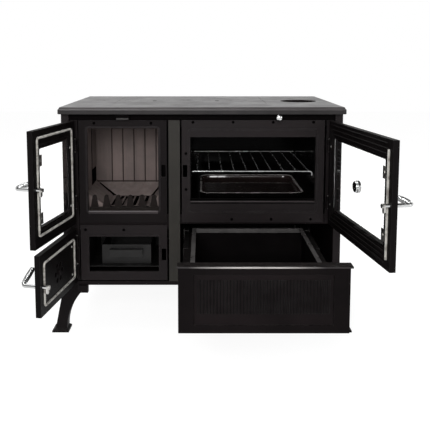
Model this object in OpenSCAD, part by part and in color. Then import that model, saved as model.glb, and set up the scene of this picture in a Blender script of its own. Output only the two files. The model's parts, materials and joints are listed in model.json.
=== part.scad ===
// Cast iron cook stove with a firebox, an ash compartment, an oven and a wood drawer.
// Lengths are millimetres. +Z is up, the front faces -Y and +X is to the viewer's right.
// The doors and the drawer are drawn open, the way the stove stands.

/* [Overall] */
// Height of the cooking surface above the floor
stove_h = 820; // [790:5:880]
// Width over the side panels
body_w = 1000; // [960:10:1080]
// Depth of the body from the door frames to the back panel
body_d = 568; // [540:4:620]
// Height of the legs under the body
leg_h = 169; // [140:1:200]
// Wall of the cast side, back and bottom panels
panel_t = 6; // [4:0.5:8]
// Width of the front strips turned in from the side panels
strip_w = 28; // [22:1:30]

/* [Top plate] */
// Overhang of the top plate past the front and back of the body
top_overhang = 16; // [10:1:24]
// Overhang of the top plate past the side panels
top_side_overhang = 3; // [2:1:8]
// Thickness of the top plate with its moulded edge
top_t = 25; // [22:1:30]
// Thickness of the flat casting of the top plate
top_web = 12; // [10:1:14]
// How far the bead of the moulded edge stands out
bead = 6; // [3:1:8]
// Width of the cooking plate inset
plate_w = 580; // [560:5:600]
// Depth of the cooking plate inset
plate_d = 380; // [300:10:400]
// Middle of the cooking plate to the left of the stove's middle
plate_x = -45; // [-50:1:-40]
// Margin between the cooking plate and the back edge of the top plate
plate_back = 65; // [55:1:70]
// Diameter of the hot plate rings
ring_d = 240; // [200:5:250]
// Diameter of the lids in the hot plate rings
lid_d = 120; // [90:5:150]
// Distance between the two hot plates
ring_pitch = 250; // [248:1:262]
// Bore of the flue outlet
flue_d = 130; // [120:1:150]
// Flue outlet to the right of the stove's middle
flue_x = 383; // [370:1:395]
// Length of the flue socket
flue_l = 50; // [40:1:55]

/* [Front] */
// Width of the frame round the firebox door opening
fire_frame_w = 312; // [290:2:330]
// Height of the frame round the ash door opening
ash_frame_h = 204; // [190:2:215]
// Gap between a frame and the pieces beside it
frame_gap = 7; // [6:0.5:9]
// Thickness of the cast door frames
frame_t = 6; // [5:0.5:7]
// Width of the pillar between the firebox and the oven
pillar_w = 40; // [34:1:46]
// Height of the recessed band under the top plate
band_h = 23; // [20:1:28]
// Side margin of the openings in their frames
frame_margin = 30; // [27:1:34]
// Height of the bottom lip of the firebox opening
fire_lip = 41; // [36:1:46]
// Height of the flange over the firebox opening
fire_head = 29; // [26:1:32]
// Height of the bottom lip of the ash opening
ash_lip = 33; // [28:1:38]
// Height of the flange over the ash opening
ash_head = 42; // [36:1:48]
// Height of the stepped panel under the oven opening
oven_lip = 78; // [70:1:84]
// Height of the stepped panel over the oven opening
oven_head = 60; // [54:1:66]

/* [Doors] */
// Hinge axis in from the side of the body
hinge_inset = 50; // [47:1:54]
// Hinge axis in front of the frames
hinge_out = 11; // [10:0.5:12]
// Thickness of the doors
door_t = 18; // [16:1:20]
// How far the firebox door stands open
fire_open = 101.4; // [60:1:120]
// How far the ash door stands open
ash_open = 99.1; // [60:1:120]
// How far the oven door stands open
oven_open = 97.7; // [60:1:120]
// Diameter of the rope gasket
rope_d = 8; // [7:0.5:9]
// Height of the bead that the gasket meets round an opening
bead_t = 2.5; // [2:0.5:3]
// Width of that bead
bead_w = 5; // [4:0.5:6]
// Side margin of the firebox glass opening in the door
fire_rail = 48; // [44:1:54]
// Side margin of the oven glass opening in the door
oven_rail = 53; // [48:1:58]
// Height of the top and bottom rails of the glazed doors
glass_rail = 60; // [56:1:66]
// Thickness of the door glass
glass_t = 4; // [3:0.5:5]
// Diameter of the hinge pins
pin_d = 6; // [5:0.5:7]
// Radial play of every pin and spindle that turns
turn_play = 0.08; // [0.05:0.01:0.1]

/* [Handles] */
// Diameter of the handle spindles
spindle_d = 12; // [10:1:13]
// Grip centre line in front of the door
grip_out = 48; // [44:1:54]
// Turns of the wire coil on a grip
grip_curls = 20; // [14:1:24]
// Diameter of the coil's wire
wire_d = 2.2; // [2:0.1:2.3]
// Rise of the wire per turn
wire_pitch = 2.8; // [2.8:0.1:3.2]
// Centre line radius of the coil at its ends
coil_r_end = 7.5; // [7.2:0.1:8]
// Centre line radius of the coil in its middle
coil_r_mid = 8.8; // [8.6:0.1:9.6]
// Raised rest angle of the ash door grip
ash_grip_rise = 20; // [10:1:40]
// Reach of a latch cam past its spindle
cam_reach = 21.5; // [20:0.5:23]
// Width of a latch cam
cam_w = 12; // [11:0.5:12.5]
// Width of the slots that the cams pass through
slot_w = 16; // [15.5:0.5:17]

/* [Firebox] */
// Thickness of the firebox liners
liner_t = 30; // [25:1:34]
// Depth of the fire chamber
fire_d = 242; // [220:2:270]
// Width of the grate
grate_w = 156; // [140:2:170]
// Height of the log guard over the sill of the opening
guard_up = 64; // [50:2:74]
// Number of fingers on the log guard
guard_fingers = 6; // [4:1:6]
// Pitch of the fingers on the log guard
guard_pitch = 43; // [40:1:45]
// Width of a guard finger at its root
finger_root = 28; // [22:1:32]
// Width of a guard finger at its rounded tip
finger_tip = 14; // [10:1:18]

/* [Ash pan] */
// Width of the ash pan
pan_w = 180; // [160:2:200]
// Depth of the ash pan
pan_d = 210; // [180:2:230]
// Height of the ash pan
pan_h = 71; // [55:1:76]
// Width of the folded pull on the ash pan
pull_w = 120; // [90:5:140]
// Height of the folded pull on the ash pan
pull_h = 28; // [20:1:32]
// Sheet of the ash box, the ash pan and the drawer
sheet_t = 2; // [1.5:0.5:2.5]

/* [Oven] */
// Depth of the oven cavity behind the frame
oven_d = 508; // [470:2:516]
// Wires of the oven rack
rack_wires = 10; // [8:1:12]
// Diameter of the rack's rails
rail_d = 6; // [5:0.5:7]
// Height of the rack over the oven floor
rack_up = 95; // [90:1:110]
// Width of the baking tray
tray_w = 377; // [340:1:390]
// Depth of the baking tray
tray_d = 350; // [320:2:466]
// Height of the baking tray
tray_h = 20; // [18:1:40]

/* [Wood drawer] */
// How far the wood drawer stands open
drawer_open = 410; // [200:5:420]
// Depth of the drawer box
drawer_d = 414; // [400:2:430]
// Depth of the lip along the top of the drawer front
lip_d = 35; // [30:1:40]
// Ribs on the drawer front
front_ribs = 40; // [20:1:48]
// Height of the telescopic rails
rail_h = 46; // [40:1:52]

/* [Hidden] */
$fn = 48;

// Clearances
slide_gap = 0.5;      // between pieces that slide past each other
set_gap = 0.3;        // round a piece that lifts out or stands on another
join = 1;             // overlap of solids that are one casting
cam_gap = 0.5;        // between a latched cam and the back of its frame
rope_gap = 0.5;       // between a closed gasket and its frame
seat_out = 4.5;       // gasket centre line outside the edge of the opening
rope_play = 0.2;      // round the gasket in its groove

// Levels and planes of the body
ogee_z = [8, 16];       // heights in the moulded edge where its steps change
ogee_lip = 2;           // how far the lowest step stands out
plate_seat = 8;         // thickness of the cooking plate
plate_ledge = 12;       // width of the ledge that carries it
lid_seat = 6;           // width of the ledges that carry the hot plates
ring_seat = 5;          // thickness of a ring's rim
ring_t = 12;            // thickness of a hot plate
collar_wall = 6;        // wall of the flue socket
body_top = stove_h - top_t;
half_w = body_w / 2;
front_y = -body_d / 2;
back_y = body_d / 2;
plate_y = back_y + top_overhang - plate_back - plate_d / 2;
frame_back_y = front_y + frame_t;
sill_z = leg_h + 19;                    // bottom of the ash frame
hearth_z = sill_z + ash_frame_h + 4;    // underside of the hearth plate
hearth_t = 4;
hearth_up = 34;                         // height of the upstand behind the door frames
fire_z0 = sill_z + ash_frame_h + 11;    // bottom of the firebox and oven frames
fire_z1 = body_top - band_h;

// Hinge axes and frame spans
hinge_x = half_w - hinge_inset;
hinge_y = front_y - hinge_out;
left_x0 = -hinge_x + 12;
left_x1 = left_x0 + fire_frame_w;
pillar_x0 = left_x1 + frame_gap;
pillar_x1 = pillar_x0 + pillar_w;
oven_x0 = pillar_x1 + frame_gap;
oven_x1 = hinge_x - 15;

// Openings, as [x0, x1, z0, z1]
fire_hole = [left_x0 + frame_margin, left_x1 - frame_margin, fire_z0 + fire_lip, fire_z1 - fire_head];
ash_hole = [left_x0 + frame_margin, left_x1 - frame_margin,
            sill_z + ash_lip, sill_z + ash_frame_h - ash_head];
oven_hole = [oven_x0 + frame_margin, oven_x1 - frame_margin, fire_z0 + oven_lip, fire_z1 - oven_head];

// Doors, in their own frame: x from the hinge axis, y to the body, z from the floor
door_face = -(door_t - 3);              // outer face
door_back = 3;                          // inner face
door_u0 = 9;
left_door_u1 = left_x1 + hinge_x + 2;
oven_door_u1 = hinge_x - oven_x0 - 1;
ash_door_top = sill_z + ash_frame_h - 6;
rope_y = hinge_out - bead_t - rope_gap - rope_d / 2;
rope_bend = 10;                         // corner radius of the gasket's centre line
slot_edge = 3.5;
slot_h = 44;
spindle_in = slot_edge + slot_w / 2;
left_spindle_u = left_x1 - spindle_in + hinge_x;
oven_spindle_u = hinge_x - oven_x0 - spindle_in;
fire_spindle_z = (fire_z0 + fire_z1) / 2 + 2.5;
ash_spindle_z = (ash_hole[2] + ash_hole[3]) / 2 - 2;
cam_y0 = hinge_out + frame_t + cam_gap;
cam_t = 5;
grip_y = door_face - grip_out;
spinner_u = (ash_hole[0] + ash_hole[1]) / 2 + hinge_x + 8;
fire_hinges = [fire_z0 + 76, fire_z1 - 88];
ash_hinges = [sill_z + 42, ash_door_top - 52];
pane_rebate = 6;

// Firebox
fire_in_x0 = fire_hole[0] - 14;
fire_in_x1 = fire_hole[1] + 5;
guard_y0 = frame_back_y + 16;
guard_t = 10;
fire_y0 = guard_y0 + guard_t;
fire_y1 = fire_y0 + fire_d - 10;
grate_x0 = (fire_in_x0 + fire_in_x1 - grate_w) / 2 + 18;
grate_z0 = hearth_z + 49;
grate_t = 10;
cheek_rise = 50;
back_rise = 42;
ash_y1 = fire_y1;

// Ash box and pan
ash_in = ash_hole[0] - 1;
pan_z = ash_hole[2] + 18;
pan_x = (ash_hole[0] + ash_hole[1]) / 2 + 5;
pan_y0 = frame_back_y + 28;
pull_out = 20;
pull_z = pan_z + pan_h - 14;

// Oven
oven_mid = (oven_hole[0] + oven_hole[1]) / 2;
oven_half = (oven_hole[1] - oven_hole[0]) / 2 - 3;
oven_floor = oven_hole[2] + 8;
oven_roof = oven_hole[3] + 5;
oven_back = frame_back_y + oven_d;
rack_z = oven_floor + rack_up;
rack_y0 = frame_back_y + 16;
rack_y1 = oven_back - 22;
tray_y0 = frame_back_y + 4;
tray_sheet = 2;
tray_rim = 6;           // how far the tray's rim stands out
tray_rim_t = 3;
tray_corner = 36;

// Drawer and rails
drawer_x0 = pillar_x1 + 9;
drawer_x1 = hinge_x - 16;
drawer_z0 = sill_z - 1;
drawer_z1 = hearth_z - 6;
drawer_front_y = hinge_y + door_face - drawer_open;
box_x0 = drawer_x0 + 35;
box_x1 = drawer_x1 - 74;
box_z0 = drawer_z0 + 18;
box_z1 = drawer_z1 - 3;
rail_z = box_z1 - rail_h / 2 - 16;
rail_l = 406;
rail_wall = 2;
rail_cup = 18;

// Flue damper and air slide
damper_z = body_top - 12;
damper_x = oven_mid + 89;
damper_d = 8;
baffle_z = oven_roof + 40;
baffle_t = 3;
band_y = frame_back_y;
slide_x = fire_hole[0] + 106;
slide_w = 44;
slide_t = 7.5;

// Legs
leg_top_w = 71;       // width of a leg where it meets the body
leg_flare = 25;       // how far its outer edge leans out
leg_toe = 44;         // reach of the foot past the side of the body
leg_set = 20;         // how much less it reaches past the front and back

// The origin is on the floor under the middle of the stove's outline with its doors open
oven_reach = hinge_y - oven_door_u1 * sin(oven_open) + door_back * cos(oven_open);
back_reach = back_y + max(top_overhang + bead, leg_toe - leg_set);
stand_y = -(oven_reach + back_reach) / 2;

// Helpers
module placed() { translate([0, stand_y, 0]) children(); }
module block(x0, x1, y0, y1, z0, z1) {
    translate([x0, y0, z0]) cube([x1 - x0, y1 - y0, z1 - z0]);
}
module rod_x(y, z, r, x0, x1) { translate([x0, y, z]) rotate([0, 90, 0]) cylinder(r = r, h = x1 - x0); }
module rod_y(x, z, r, y0, y1) { translate([x, y1, z]) rotate([90, 0, 0]) cylinder(r = r, h = y1 - y0); }
module rod_z(x, y, r, z0, z1) { translate([x, y, z0]) cylinder(r = r, h = z1 - z0); }
module along_y(y0, y1) { translate([0, y1, 0]) rotate([90, 0, 0]) linear_extrude(y1 - y0) children(); }
module window(h) { translate([h[0], h[2]]) square([h[1] - h[0], h[3] - h[2]]); }
module round_rect(w, d, r) {
    square([w - 2 * r, d], center = true);
    square([w, d - 2 * r], center = true);
    for (i = [-1, 1], j = [-1, 1])
        translate([i * (w / 2 - r), j * (d / 2 - r)]) circle(r);
}
module round_window(h, grow, r) {
    translate([(h[0] + h[1]) / 2, (h[2] + h[3]) / 2])
        round_rect(h[1] - h[0] + 2 * grow, h[3] - h[2] + 2 * grow, r);
}
module left_door(angle) {
    placed() translate([-hinge_x, hinge_y, 0]) rotate([0, 0, -angle]) children();
}
module right_door(angle) {
    placed() translate([hinge_x, hinge_y, 0]) rotate([0, 0, angle]) mirror([1, 0, 0]) children();
}
function to_u(h, side) = side < 0
    ? [h[0] + hinge_x, h[1] + hinge_x, h[2], h[3]]
    : [hinge_x - h[1], hinge_x - h[0], h[2], h[3]];
fire_u = to_u(fire_hole, -1);
ash_u = to_u(ash_hole, -1);
oven_u = [hinge_x - oven_hole[1], hinge_x - oven_hole[0], fire_z0 + oven_lip - 45, fire_z1 - oven_head + 29];

// Top

module moulded_plate() {
    w = body_w + 2 * top_side_overhang;
    d = body_d + 2 * top_overhang;
    translate([0, 0, body_top]) linear_extrude(ogee_z[0])
        round_rect(w + 2 * ogee_lip, d + 2 * ogee_lip, 12);
    translate([0, 0, body_top + ogee_z[0] - join]) linear_extrude(ogee_z[1] - ogee_z[0] + join)
        round_rect(w + 2 * bead, d + 2 * bead, 14);
    translate([0, 0, body_top + ogee_z[1] - join]) linear_extrude(top_t - ogee_z[1] + join)
        round_rect(w, d, 10);
}

module top_plate() {
    color([0.42, 0.41, 0.41]) placed() difference() {
        moulded_plate();
        block(-half_w + 12, half_w - 12, front_y + 14, back_y - 12, body_top - 1, stove_h - top_web);
        translate([plate_x, plate_y, stove_h - plate_seat]) linear_extrude(plate_seat + 1)
            round_rect(plate_w, plate_d, 12);
        translate([plate_x, plate_y, body_top]) linear_extrude(top_t)
            round_rect(plate_w - 2 * plate_ledge, plate_d - 2 * plate_ledge, 8);
        rod_z(flue_x, 0, flue_d / 2 + collar_wall + set_gap, body_top - 1, stove_h + 1);
        rod_z(-half_w + 105, 33, 4, body_top - 1, stove_h + 1);
    }
}

hob_x = plate_x - 20;    // middle between the two hot plates
module cooking_plate() {
    color([0.40, 0.39, 0.39]) placed() difference() {
        translate([plate_x, plate_y, stove_h - plate_seat]) linear_extrude(plate_seat)
            round_rect(plate_w - 2 * set_gap, plate_d - 2 * set_gap, 12);
        for (i = [-1, 1]) translate([hob_x + i * ring_pitch / 2, plate_y, 0]) {
            rod_z(0, 0, ring_d / 2, stove_h - ring_seat, stove_h + 1);
            rod_z(0, 0, ring_d / 2 - lid_seat, stove_h - plate_seat - 1, stove_h + 1);
        }
    }
}

module hotplate_ring(side) {
    color([0.36, 0.35, 0.35]) placed() translate([hob_x + side * ring_pitch / 2, plate_y, 0]) difference() {
        union() {
            rod_z(0, 0, ring_d / 2 - set_gap, stove_h - ring_seat, stove_h);
            rod_z(0, 0, ring_d / 2 - lid_seat - set_gap, stove_h - ring_t, stove_h - ring_seat + join);
        }
        rod_z(0, 0, lid_d / 2, stove_h - ring_t / 2, stove_h + 1);
        rod_z(0, 0, lid_d / 2 - lid_seat, stove_h - ring_t - 1, stove_h + 1);
    }
}

module hotplate_lid(side) {
    color([0.34, 0.33, 0.33]) placed() translate([hob_x + side * ring_pitch / 2, plate_y, 0]) difference() {
        union() {
            rod_z(0, 0, lid_d / 2 - set_gap, stove_h - ring_t / 2, stove_h);
            rod_z(0, 0, lid_d / 2 - lid_seat - set_gap, stove_h - ring_t, stove_h - ring_t / 2 + join);
        }
        block(-7, 7, -42, -16, stove_h - 4, stove_h + 1);
    }
}

module flue_collar() {
    color([0.20, 0.19, 0.19]) placed() difference() {
        union() {
            rod_z(flue_x, 0, flue_d / 2 + collar_wall, stove_h - flue_l, stove_h);
            rod_z(flue_x, 0, flue_d / 2 + 3 * collar_wall, stove_h - top_web - 6, stove_h - top_web);
        }
        rod_z(flue_x, 0, flue_d / 2, stove_h - flue_l - 1, stove_h + 1);
    }
}

// Body panels

module side_panel(side) {
    color([0.45, 0.43, 0.41]) placed() mirror([side > 0 ? 0 : 1, 0, 0]) {
        block(half_w - panel_t, half_w, front_y, back_y, leg_h, body_top);
        block(half_w - strip_w, half_w - panel_t + join, front_y, frame_back_y, leg_h + 15 + set_gap, body_top);
    }
}

module back_panel() {
    color([0.30, 0.28, 0.27]) placed()
        block(-half_w + panel_t, half_w - panel_t, back_y - panel_t, back_y, leg_h + panel_t, body_top);
}

module bottom_panel() {
    color([0.30, 0.28, 0.27]) placed() {
        block(-half_w + panel_t, half_w - panel_t, front_y, back_y, leg_h, leg_h + panel_t);
        block(-half_w + panel_t, half_w - panel_t, front_y, frame_back_y, leg_h, leg_h + 15);
    }
}

module upper_front_rail() {
    color([0.26, 0.24, 0.23]) placed() difference() {
        union() {
            block(-half_w + panel_t, half_w - panel_t, band_y, band_y + 6, fire_z1 - 22, body_top);
            block(slide_x - 5, slide_x + slide_w + 2, band_y - 20, band_y + join,
                  damper_z - 1 + set_gap, damper_z + 9);
        }
        block(slide_x - set_gap, slide_x + slide_w + set_gap, band_y - join, band_y + 7,
              damper_z - slide_t - 2 * set_gap - 1, damper_z - 1 + set_gap);
        rod_y(damper_x, damper_z, damper_d / 2 + turn_play, band_y - 1, band_y + 7);
    }
}

module centre_wall() {
    color([0.24, 0.22, 0.20]) placed() {
        block(pillar_x0, pillar_x1, front_y, frame_back_y, sill_z - 4, fire_z1);
        difference() {
            block(pillar_x0 + 17, pillar_x0 + 23, frame_back_y - join, back_y - panel_t, leg_h + panel_t, body_top);
            block(pillar_x0 + 16, pillar_x0 + 24, band_y - 1, band_y + 6 + set_gap,
                  fire_z1 - 22 - set_gap, body_top + 1);
            block(pillar_x0 + 16, pillar_x0 + 24, front_y + 60, back_y - 60, baffle_z - 30, body_top - 12);
            block(pillar_x0 + 16, pillar_x0 + 24, frame_back_y - 2 * join, frame_back_y + 1,
                  leg_h, leg_h + 15 + set_gap);
            block(pillar_x0 + 16, pillar_x0 + 24, back_y - panel_t - 12 - set_gap, back_y,
                  hearth_z - set_gap, hearth_z + hearth_t + set_gap);
        }
    }
}

module hearth_plate() {
    x0 = -half_w + panel_t;
    x1 = half_w - panel_t;
    color([0.22, 0.20, 0.20]) placed() difference() {
        union() {
            block(x0, x1, frame_back_y, back_y - panel_t, hearth_z, hearth_z + hearth_t);
            block(x0, x1, frame_back_y, frame_back_y + 6, hearth_z, hearth_z + hearth_up);
            block(x0, pillar_x0 + 17, frame_back_y, frame_back_y + 6, hearth_z - 18, hearth_z + join);
        }
        block(pillar_x0 + 17 - set_gap, pillar_x0 + 23 + set_gap, frame_back_y - 1, back_y - panel_t - 12,
              hearth_z - 19, hearth_z + hearth_up + 1);
        block(ash_hole[0] + 12, ash_hole[1] - 12, guard_y0 + guard_t + 14, ash_y1 - 30, hearth_z - 1, hearth_z + 5);
    }
}

// Door frames

module slot(x) {
    translate([x, 0]) square([slot_w, slot_h], center = true);
}
module screw_holes(points, r) { for (p = points) translate(p) circle(r); }
fire_screws = [for (x = [left_x0 + 55, left_x1 - 55]) [x, fire_z1 - 10]];
ash_screws = [for (x = [left_x0 + 18, left_x0 + 156]) [x, sill_z + ash_frame_h - 17]];
oven_top_screws = [for (i = [0:3]) [oven_x0 + 40 + i * (oven_x1 - oven_x0 - 80) / 3, fire_z1 - 7]];
oven_low_screws = [for (i = [0:2]) [oven_x0 + 179 + i * 142, fire_z0 + 11]];
oven_side_screws = [for (z = [oven_hole[3] - 59, oven_hole[2] + 42]) [oven_x0 + 15, z]];
screw_r = 2.5;

module seal_bead(h, grow) {
    along_y(front_y - bead_t, front_y + join) difference() {
        round_window(h, grow + bead_w / 2, rope_bend + bead_w / 2);
        round_window(h, grow - bead_w / 2, rope_bend - bead_w / 2);
    }
}

module firebox_frame() {
    color([0.28, 0.26, 0.25]) placed() {
        along_y(front_y, frame_back_y) difference() {
            window([left_x0, left_x1, fire_z0, fire_z1]);
            window(fire_hole);
            translate([0, fire_spindle_z]) slot(left_x1 - spindle_in);
            screw_holes(fire_screws, screw_r);
        }
        seal_bead(fire_hole, seat_out);
    }
}

module ash_frame() {
    color([0.28, 0.26, 0.25]) placed() {
        along_y(front_y, frame_back_y) difference() {
            window([left_x0, left_x1, sill_z, sill_z + ash_frame_h]);
            window(ash_hole);
            translate([0, ash_spindle_z]) slot(left_x1 - spindle_in);
            screw_holes(ash_screws, screw_r);
        }
        seal_bead(ash_hole, seat_out);
    }
}

module oven_frame() {
    // The shallow step round the opening, and the bead outside it
    step = [oven_hole[0], oven_hole[1], oven_hole[2] - 37, oven_hole[3] + 22];
    rim = [oven_hole[0] - 5.5, oven_hole[1] + 8, oven_hole[2] - 43, oven_hole[3] + 27];
    color([0.36, 0.34, 0.32]) placed() {
        difference() {
            along_y(front_y, frame_back_y) difference() {
                window([oven_x0, oven_x1, fire_z0, fire_z1]);
                window(oven_hole);
                translate([0, fire_spindle_z]) slot(oven_x0 + spindle_in);
                screw_holes(oven_top_screws, screw_r);
                screw_holes(oven_low_screws, screw_r);
                screw_holes(oven_side_screws, screw_r);
            }
            along_y(front_y - 1, front_y + 2) difference() {
                window(step);
                window([step[0], step[1], oven_hole[2] - 4, oven_hole[2] + 1]);
            }
        }
        seal_bead(rim, 0);
    }
}

module frame_screws() {
    points = concat(fire_screws, ash_screws, oven_top_screws, oven_low_screws, oven_side_screws);
    color([0.62, 0.60, 0.58]) placed() for (p = points) {
        rod_y(p[0], p[1], screw_r, front_y - join, frame_back_y);
        translate([p[0], front_y, p[1]]) rotate([90, 0, 0]) cylinder(r = 5, h = 2.5);
    }
}

// Hinges

knuckle_r = 7;
knuckle_h = 22;
module fixed_knuckle(z) {
    rod_z(0, 0, knuckle_r, z - knuckle_h, z);
    block(-knuckle_r, knuckle_r, 0, hinge_out + join, z - knuckle_h, z);
}
module hinge_strip(z0, z1, hinges) {
    difference() {
        union() {
            block(-18, 8, hinge_out, hinge_out + frame_t, z0, z1);
            for (z = hinges) fixed_knuckle(z);
        }
        for (z = hinges) rod_z(0, 0, pin_d / 2, z - knuckle_h - 1, z + 1);
    }
}
module hinge_plates() {
    color([0.40, 0.38, 0.36]) placed() {
        translate([-hinge_x, hinge_y, 0]) hinge_strip(sill_z, fire_z1, concat(ash_hinges, fire_hinges));
        translate([hinge_x, hinge_y, 0]) mirror([1, 0, 0]) hinge_strip(fire_z0, fire_z1, fire_hinges);
    }
}
module hinge_pins() {
    color([0.70, 0.69, 0.67]) placed() {
        for (z = concat(ash_hinges, fire_hinges))
            rod_z(-hinge_x, hinge_y, pin_d / 2, z - knuckle_h - 2, z + knuckle_h + 3);
        for (z = fire_hinges)
            rod_z(hinge_x, hinge_y, pin_d / 2, z - knuckle_h - 2, z + knuckle_h + 3);
    }
}
module door_knuckle(z) {
    rod_z(0, 0, knuckle_r, z + set_gap, z + knuckle_h);
    block(0, door_u0 + join, -knuckle_r, door_back, z + set_gap, z + knuckle_h);
}

// Legs

function leg_out(z) = 10 + leg_flare * (1 - z / leg_h * 1.18);
function leg_in(z) = -9 - (leg_top_w - 19) * pow(max(z - 11, 0) / 132, 2.2);
module leg_profile() {
    steps = 10;
    top = leg_h;
    polygon(concat(
        [[leg_toe, 0], [leg_toe, 6], [leg_out(11), 12]],
        [for (i = [1:steps]) let (z = 12 + (top - 12) * i / steps) [leg_out(min(z, top)), z]],
        [for (i = [steps:-1:1]) let (z = 12 + (top - 12) * i / steps) [leg_in(min(z, 143)), z]],
        [[-9, 12], [-16, 6], [-16, 0]]
    ));
}
module leg() {
    intersection() {
        translate([0, leg_top_w + 30, 0]) rotate([90, 0, 0]) linear_extrude(2 * leg_top_w + 60) leg_profile();
        translate([-leg_top_w - 30, 0, 0]) rotate([90, 0, 90]) linear_extrude(2 * leg_top_w + 60)
            mirror([1, 0]) leg_side_profile();
    }
    block(-86, -leg_top_w + 20, -8, 10, leg_h - 26, leg_h);
}
module leg_side_profile() { translate([-leg_set, 0]) leg_profile(); }
module legs() {
    color([0.20, 0.19, 0.18]) placed()
        for (i = [-1, 1], j = [-1, 1])
            scale_sign(i, j) translate([half_w, front_y, 0]) leg();
}
module scale_sign(i, j) {
    mirror([i > 0 ? 0 : 1, 0, 0]) mirror([0, j < 0 ? 0 : 1, 0]) children();
}

// Firebox

module firebox_liners() {
    z0 = hearth_z + hearth_t;
    z1 = fire_z1 - 15;
    back_ribs = [for (i = [0:4]) fire_in_x0 + 61 + i * 44];
    side_ribs = [fire_y0 + 38, fire_y0 + 128];
    ledge = grate_z0 + grate_t + back_rise + 1;
    color([0.36, 0.30, 0.28]) placed() {
        difference() {
            block(fire_in_x0 - liner_t, fire_in_x0, fire_y0, fire_y1, z0, z1);
            for (y = side_ribs) block(fire_in_x0 - 6, fire_in_x0 + 1, y, y + 16, z0 - 1, z1 + 1);
            block(fire_in_x0 - 14, fire_in_x0 + 1, fire_y1 - 104, fire_y1 + 1, z0 + 102, z0 + 163);
        }
        block(fire_in_x1, fire_in_x1 + liner_t, fire_y0, fire_y1, z0, z1);
        difference() {
            block(fire_in_x0 - liner_t, fire_in_x1 + liner_t, fire_y1 + set_gap, fire_y1 + liner_t, z0, z1);
            for (x = back_ribs) block(x, x + 4, fire_y1, fire_y1 + 3, z0 - 1, z1 + 1);
            block(fire_in_x0, fire_in_x1, fire_y1, fire_y1 + 3, ledge, ledge + 5);
        }
    }
}

module cheek_profile(w, rise) {
    z0 = hearth_z + hearth_t;
    polygon([[0, z0], [0, grate_z0 + grate_t + rise], [w, grate_z0 + grate_t],
             [w, grate_z0], [w + 8, grate_z0], [w + 8, z0]]);
}
module firebox_cheeks() {
    left_w = grate_x0 - fire_in_x0;
    right_w = fire_in_x1 - grate_x0 - grate_w;
    back_w = 54;
    corner_gap = 6;
    y1 = fire_y1 - set_gap;
    color([0.34, 0.29, 0.27]) placed() difference() {
        union() {
            translate([fire_in_x0 + set_gap, 0, 0]) along_y(fire_y0 + set_gap, y1)
                cheek_profile(left_w - set_gap, cheek_rise);
            translate([fire_in_x1 - set_gap, 0, 0]) mirror([1, 0, 0])
                along_y(fire_y0 + set_gap, y1) cheek_profile(right_w - set_gap, cheek_rise);
            translate([fire_in_x0 + set_gap, y1, 0]) rotate([90, 0, 90])
                linear_extrude(fire_in_x1 - fire_in_x0 - 2 * set_gap)
                    mirror([1, 0]) cheek_profile(back_w, back_rise);
        }
        mitre_cut(fire_in_x0, left_w, back_w, corner_gap);
        mitre_cut(fire_in_x1, -right_w, back_w, corner_gap);
    }
}

// The gap on the mitre between a side cheek and the back one
module mitre_cut(x_wall, side_w, back_w, gap) {
    over = 30;
    translate([x_wall, fire_y1, hearth_z]) rotate([0, 0, atan2(-back_w, side_w)])
        translate([-over, -gap / 2, 0]) cube([norm([side_w, back_w]) + 2 * over, gap, 200]);
}

module grate() {
    y0 = fire_y0 + 2;
    y1 = fire_y1 - 54 - 3;
    bars = 7;
    pitch = (grate_w - 20) / bars;
    color([0.22, 0.20, 0.19]) placed() difference() {
        block(grate_x0 + set_gap, grate_x0 + grate_w - set_gap, y0, y1, grate_z0, grate_z0 + grate_t);
        for (i = [0:bars - 1])
            block(grate_x0 + 10 + i * pitch + 4, grate_x0 + 10 + (i + 1) * pitch - 4,
                  y0 + 12, y1 - 12, grate_z0 - 1, grate_z0 + grate_t + 1);
    }
}

module log_guard() {
    x0 = fire_hole[0] + 1;
    x1 = fire_hole[1] - 2;
    top = fire_hole[2] + guard_up;
    root = fire_hole[2] + 9;
    foot = hearth_z + hearth_up + set_gap;
    toe = frame_back_y + 1;
    mid = (x0 + x1) / 2;
    color([0.30, 0.27, 0.25]) placed() {
        block(x0, x1, guard_y0, guard_y0 + guard_t, foot, root);
        translate([x0, 0, 0]) rotate([90, 0, 90]) linear_extrude(x1 - x0)
            polygon([[toe, foot], [guard_y0 + join, foot],
                     [guard_y0 + join, root], [toe, fire_hole[2] + 1]]);
        for (i = [0:guard_fingers - 1])
            translate([mid + (i - (guard_fingers - 1) / 2) * guard_pitch, 0, 0])
                along_y(guard_y0, guard_y0 + guard_t) {
                    polygon([[-finger_root / 2, root - join], [finger_root / 2, root - join],
                             [finger_tip / 2, top - finger_tip / 2], [-finger_tip / 2, top - finger_tip / 2]]);
                    translate([0, top - finger_tip / 2]) circle(finger_tip / 2);
                }
    }
}

// Ash compartment

module ash_box() {
    x0 = ash_in - sheet_t;
    x1 = ash_hole[1] + 1 + sheet_t;
    z0 = pan_z - set_gap - sheet_t;
    color([0.25, 0.24, 0.24]) placed() {
        block(x0, x1, frame_back_y, ash_y1, z0, z0 + sheet_t);
        block(x0, x0 + sheet_t, frame_back_y + 6 + set_gap, ash_y1, z0, hearth_z);
        block(x1 - sheet_t, x1, frame_back_y + 6 + set_gap, ash_y1, z0, hearth_z);
        block(x0, x1, ash_y1 - sheet_t, ash_y1, z0, hearth_z);
    }
}

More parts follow.
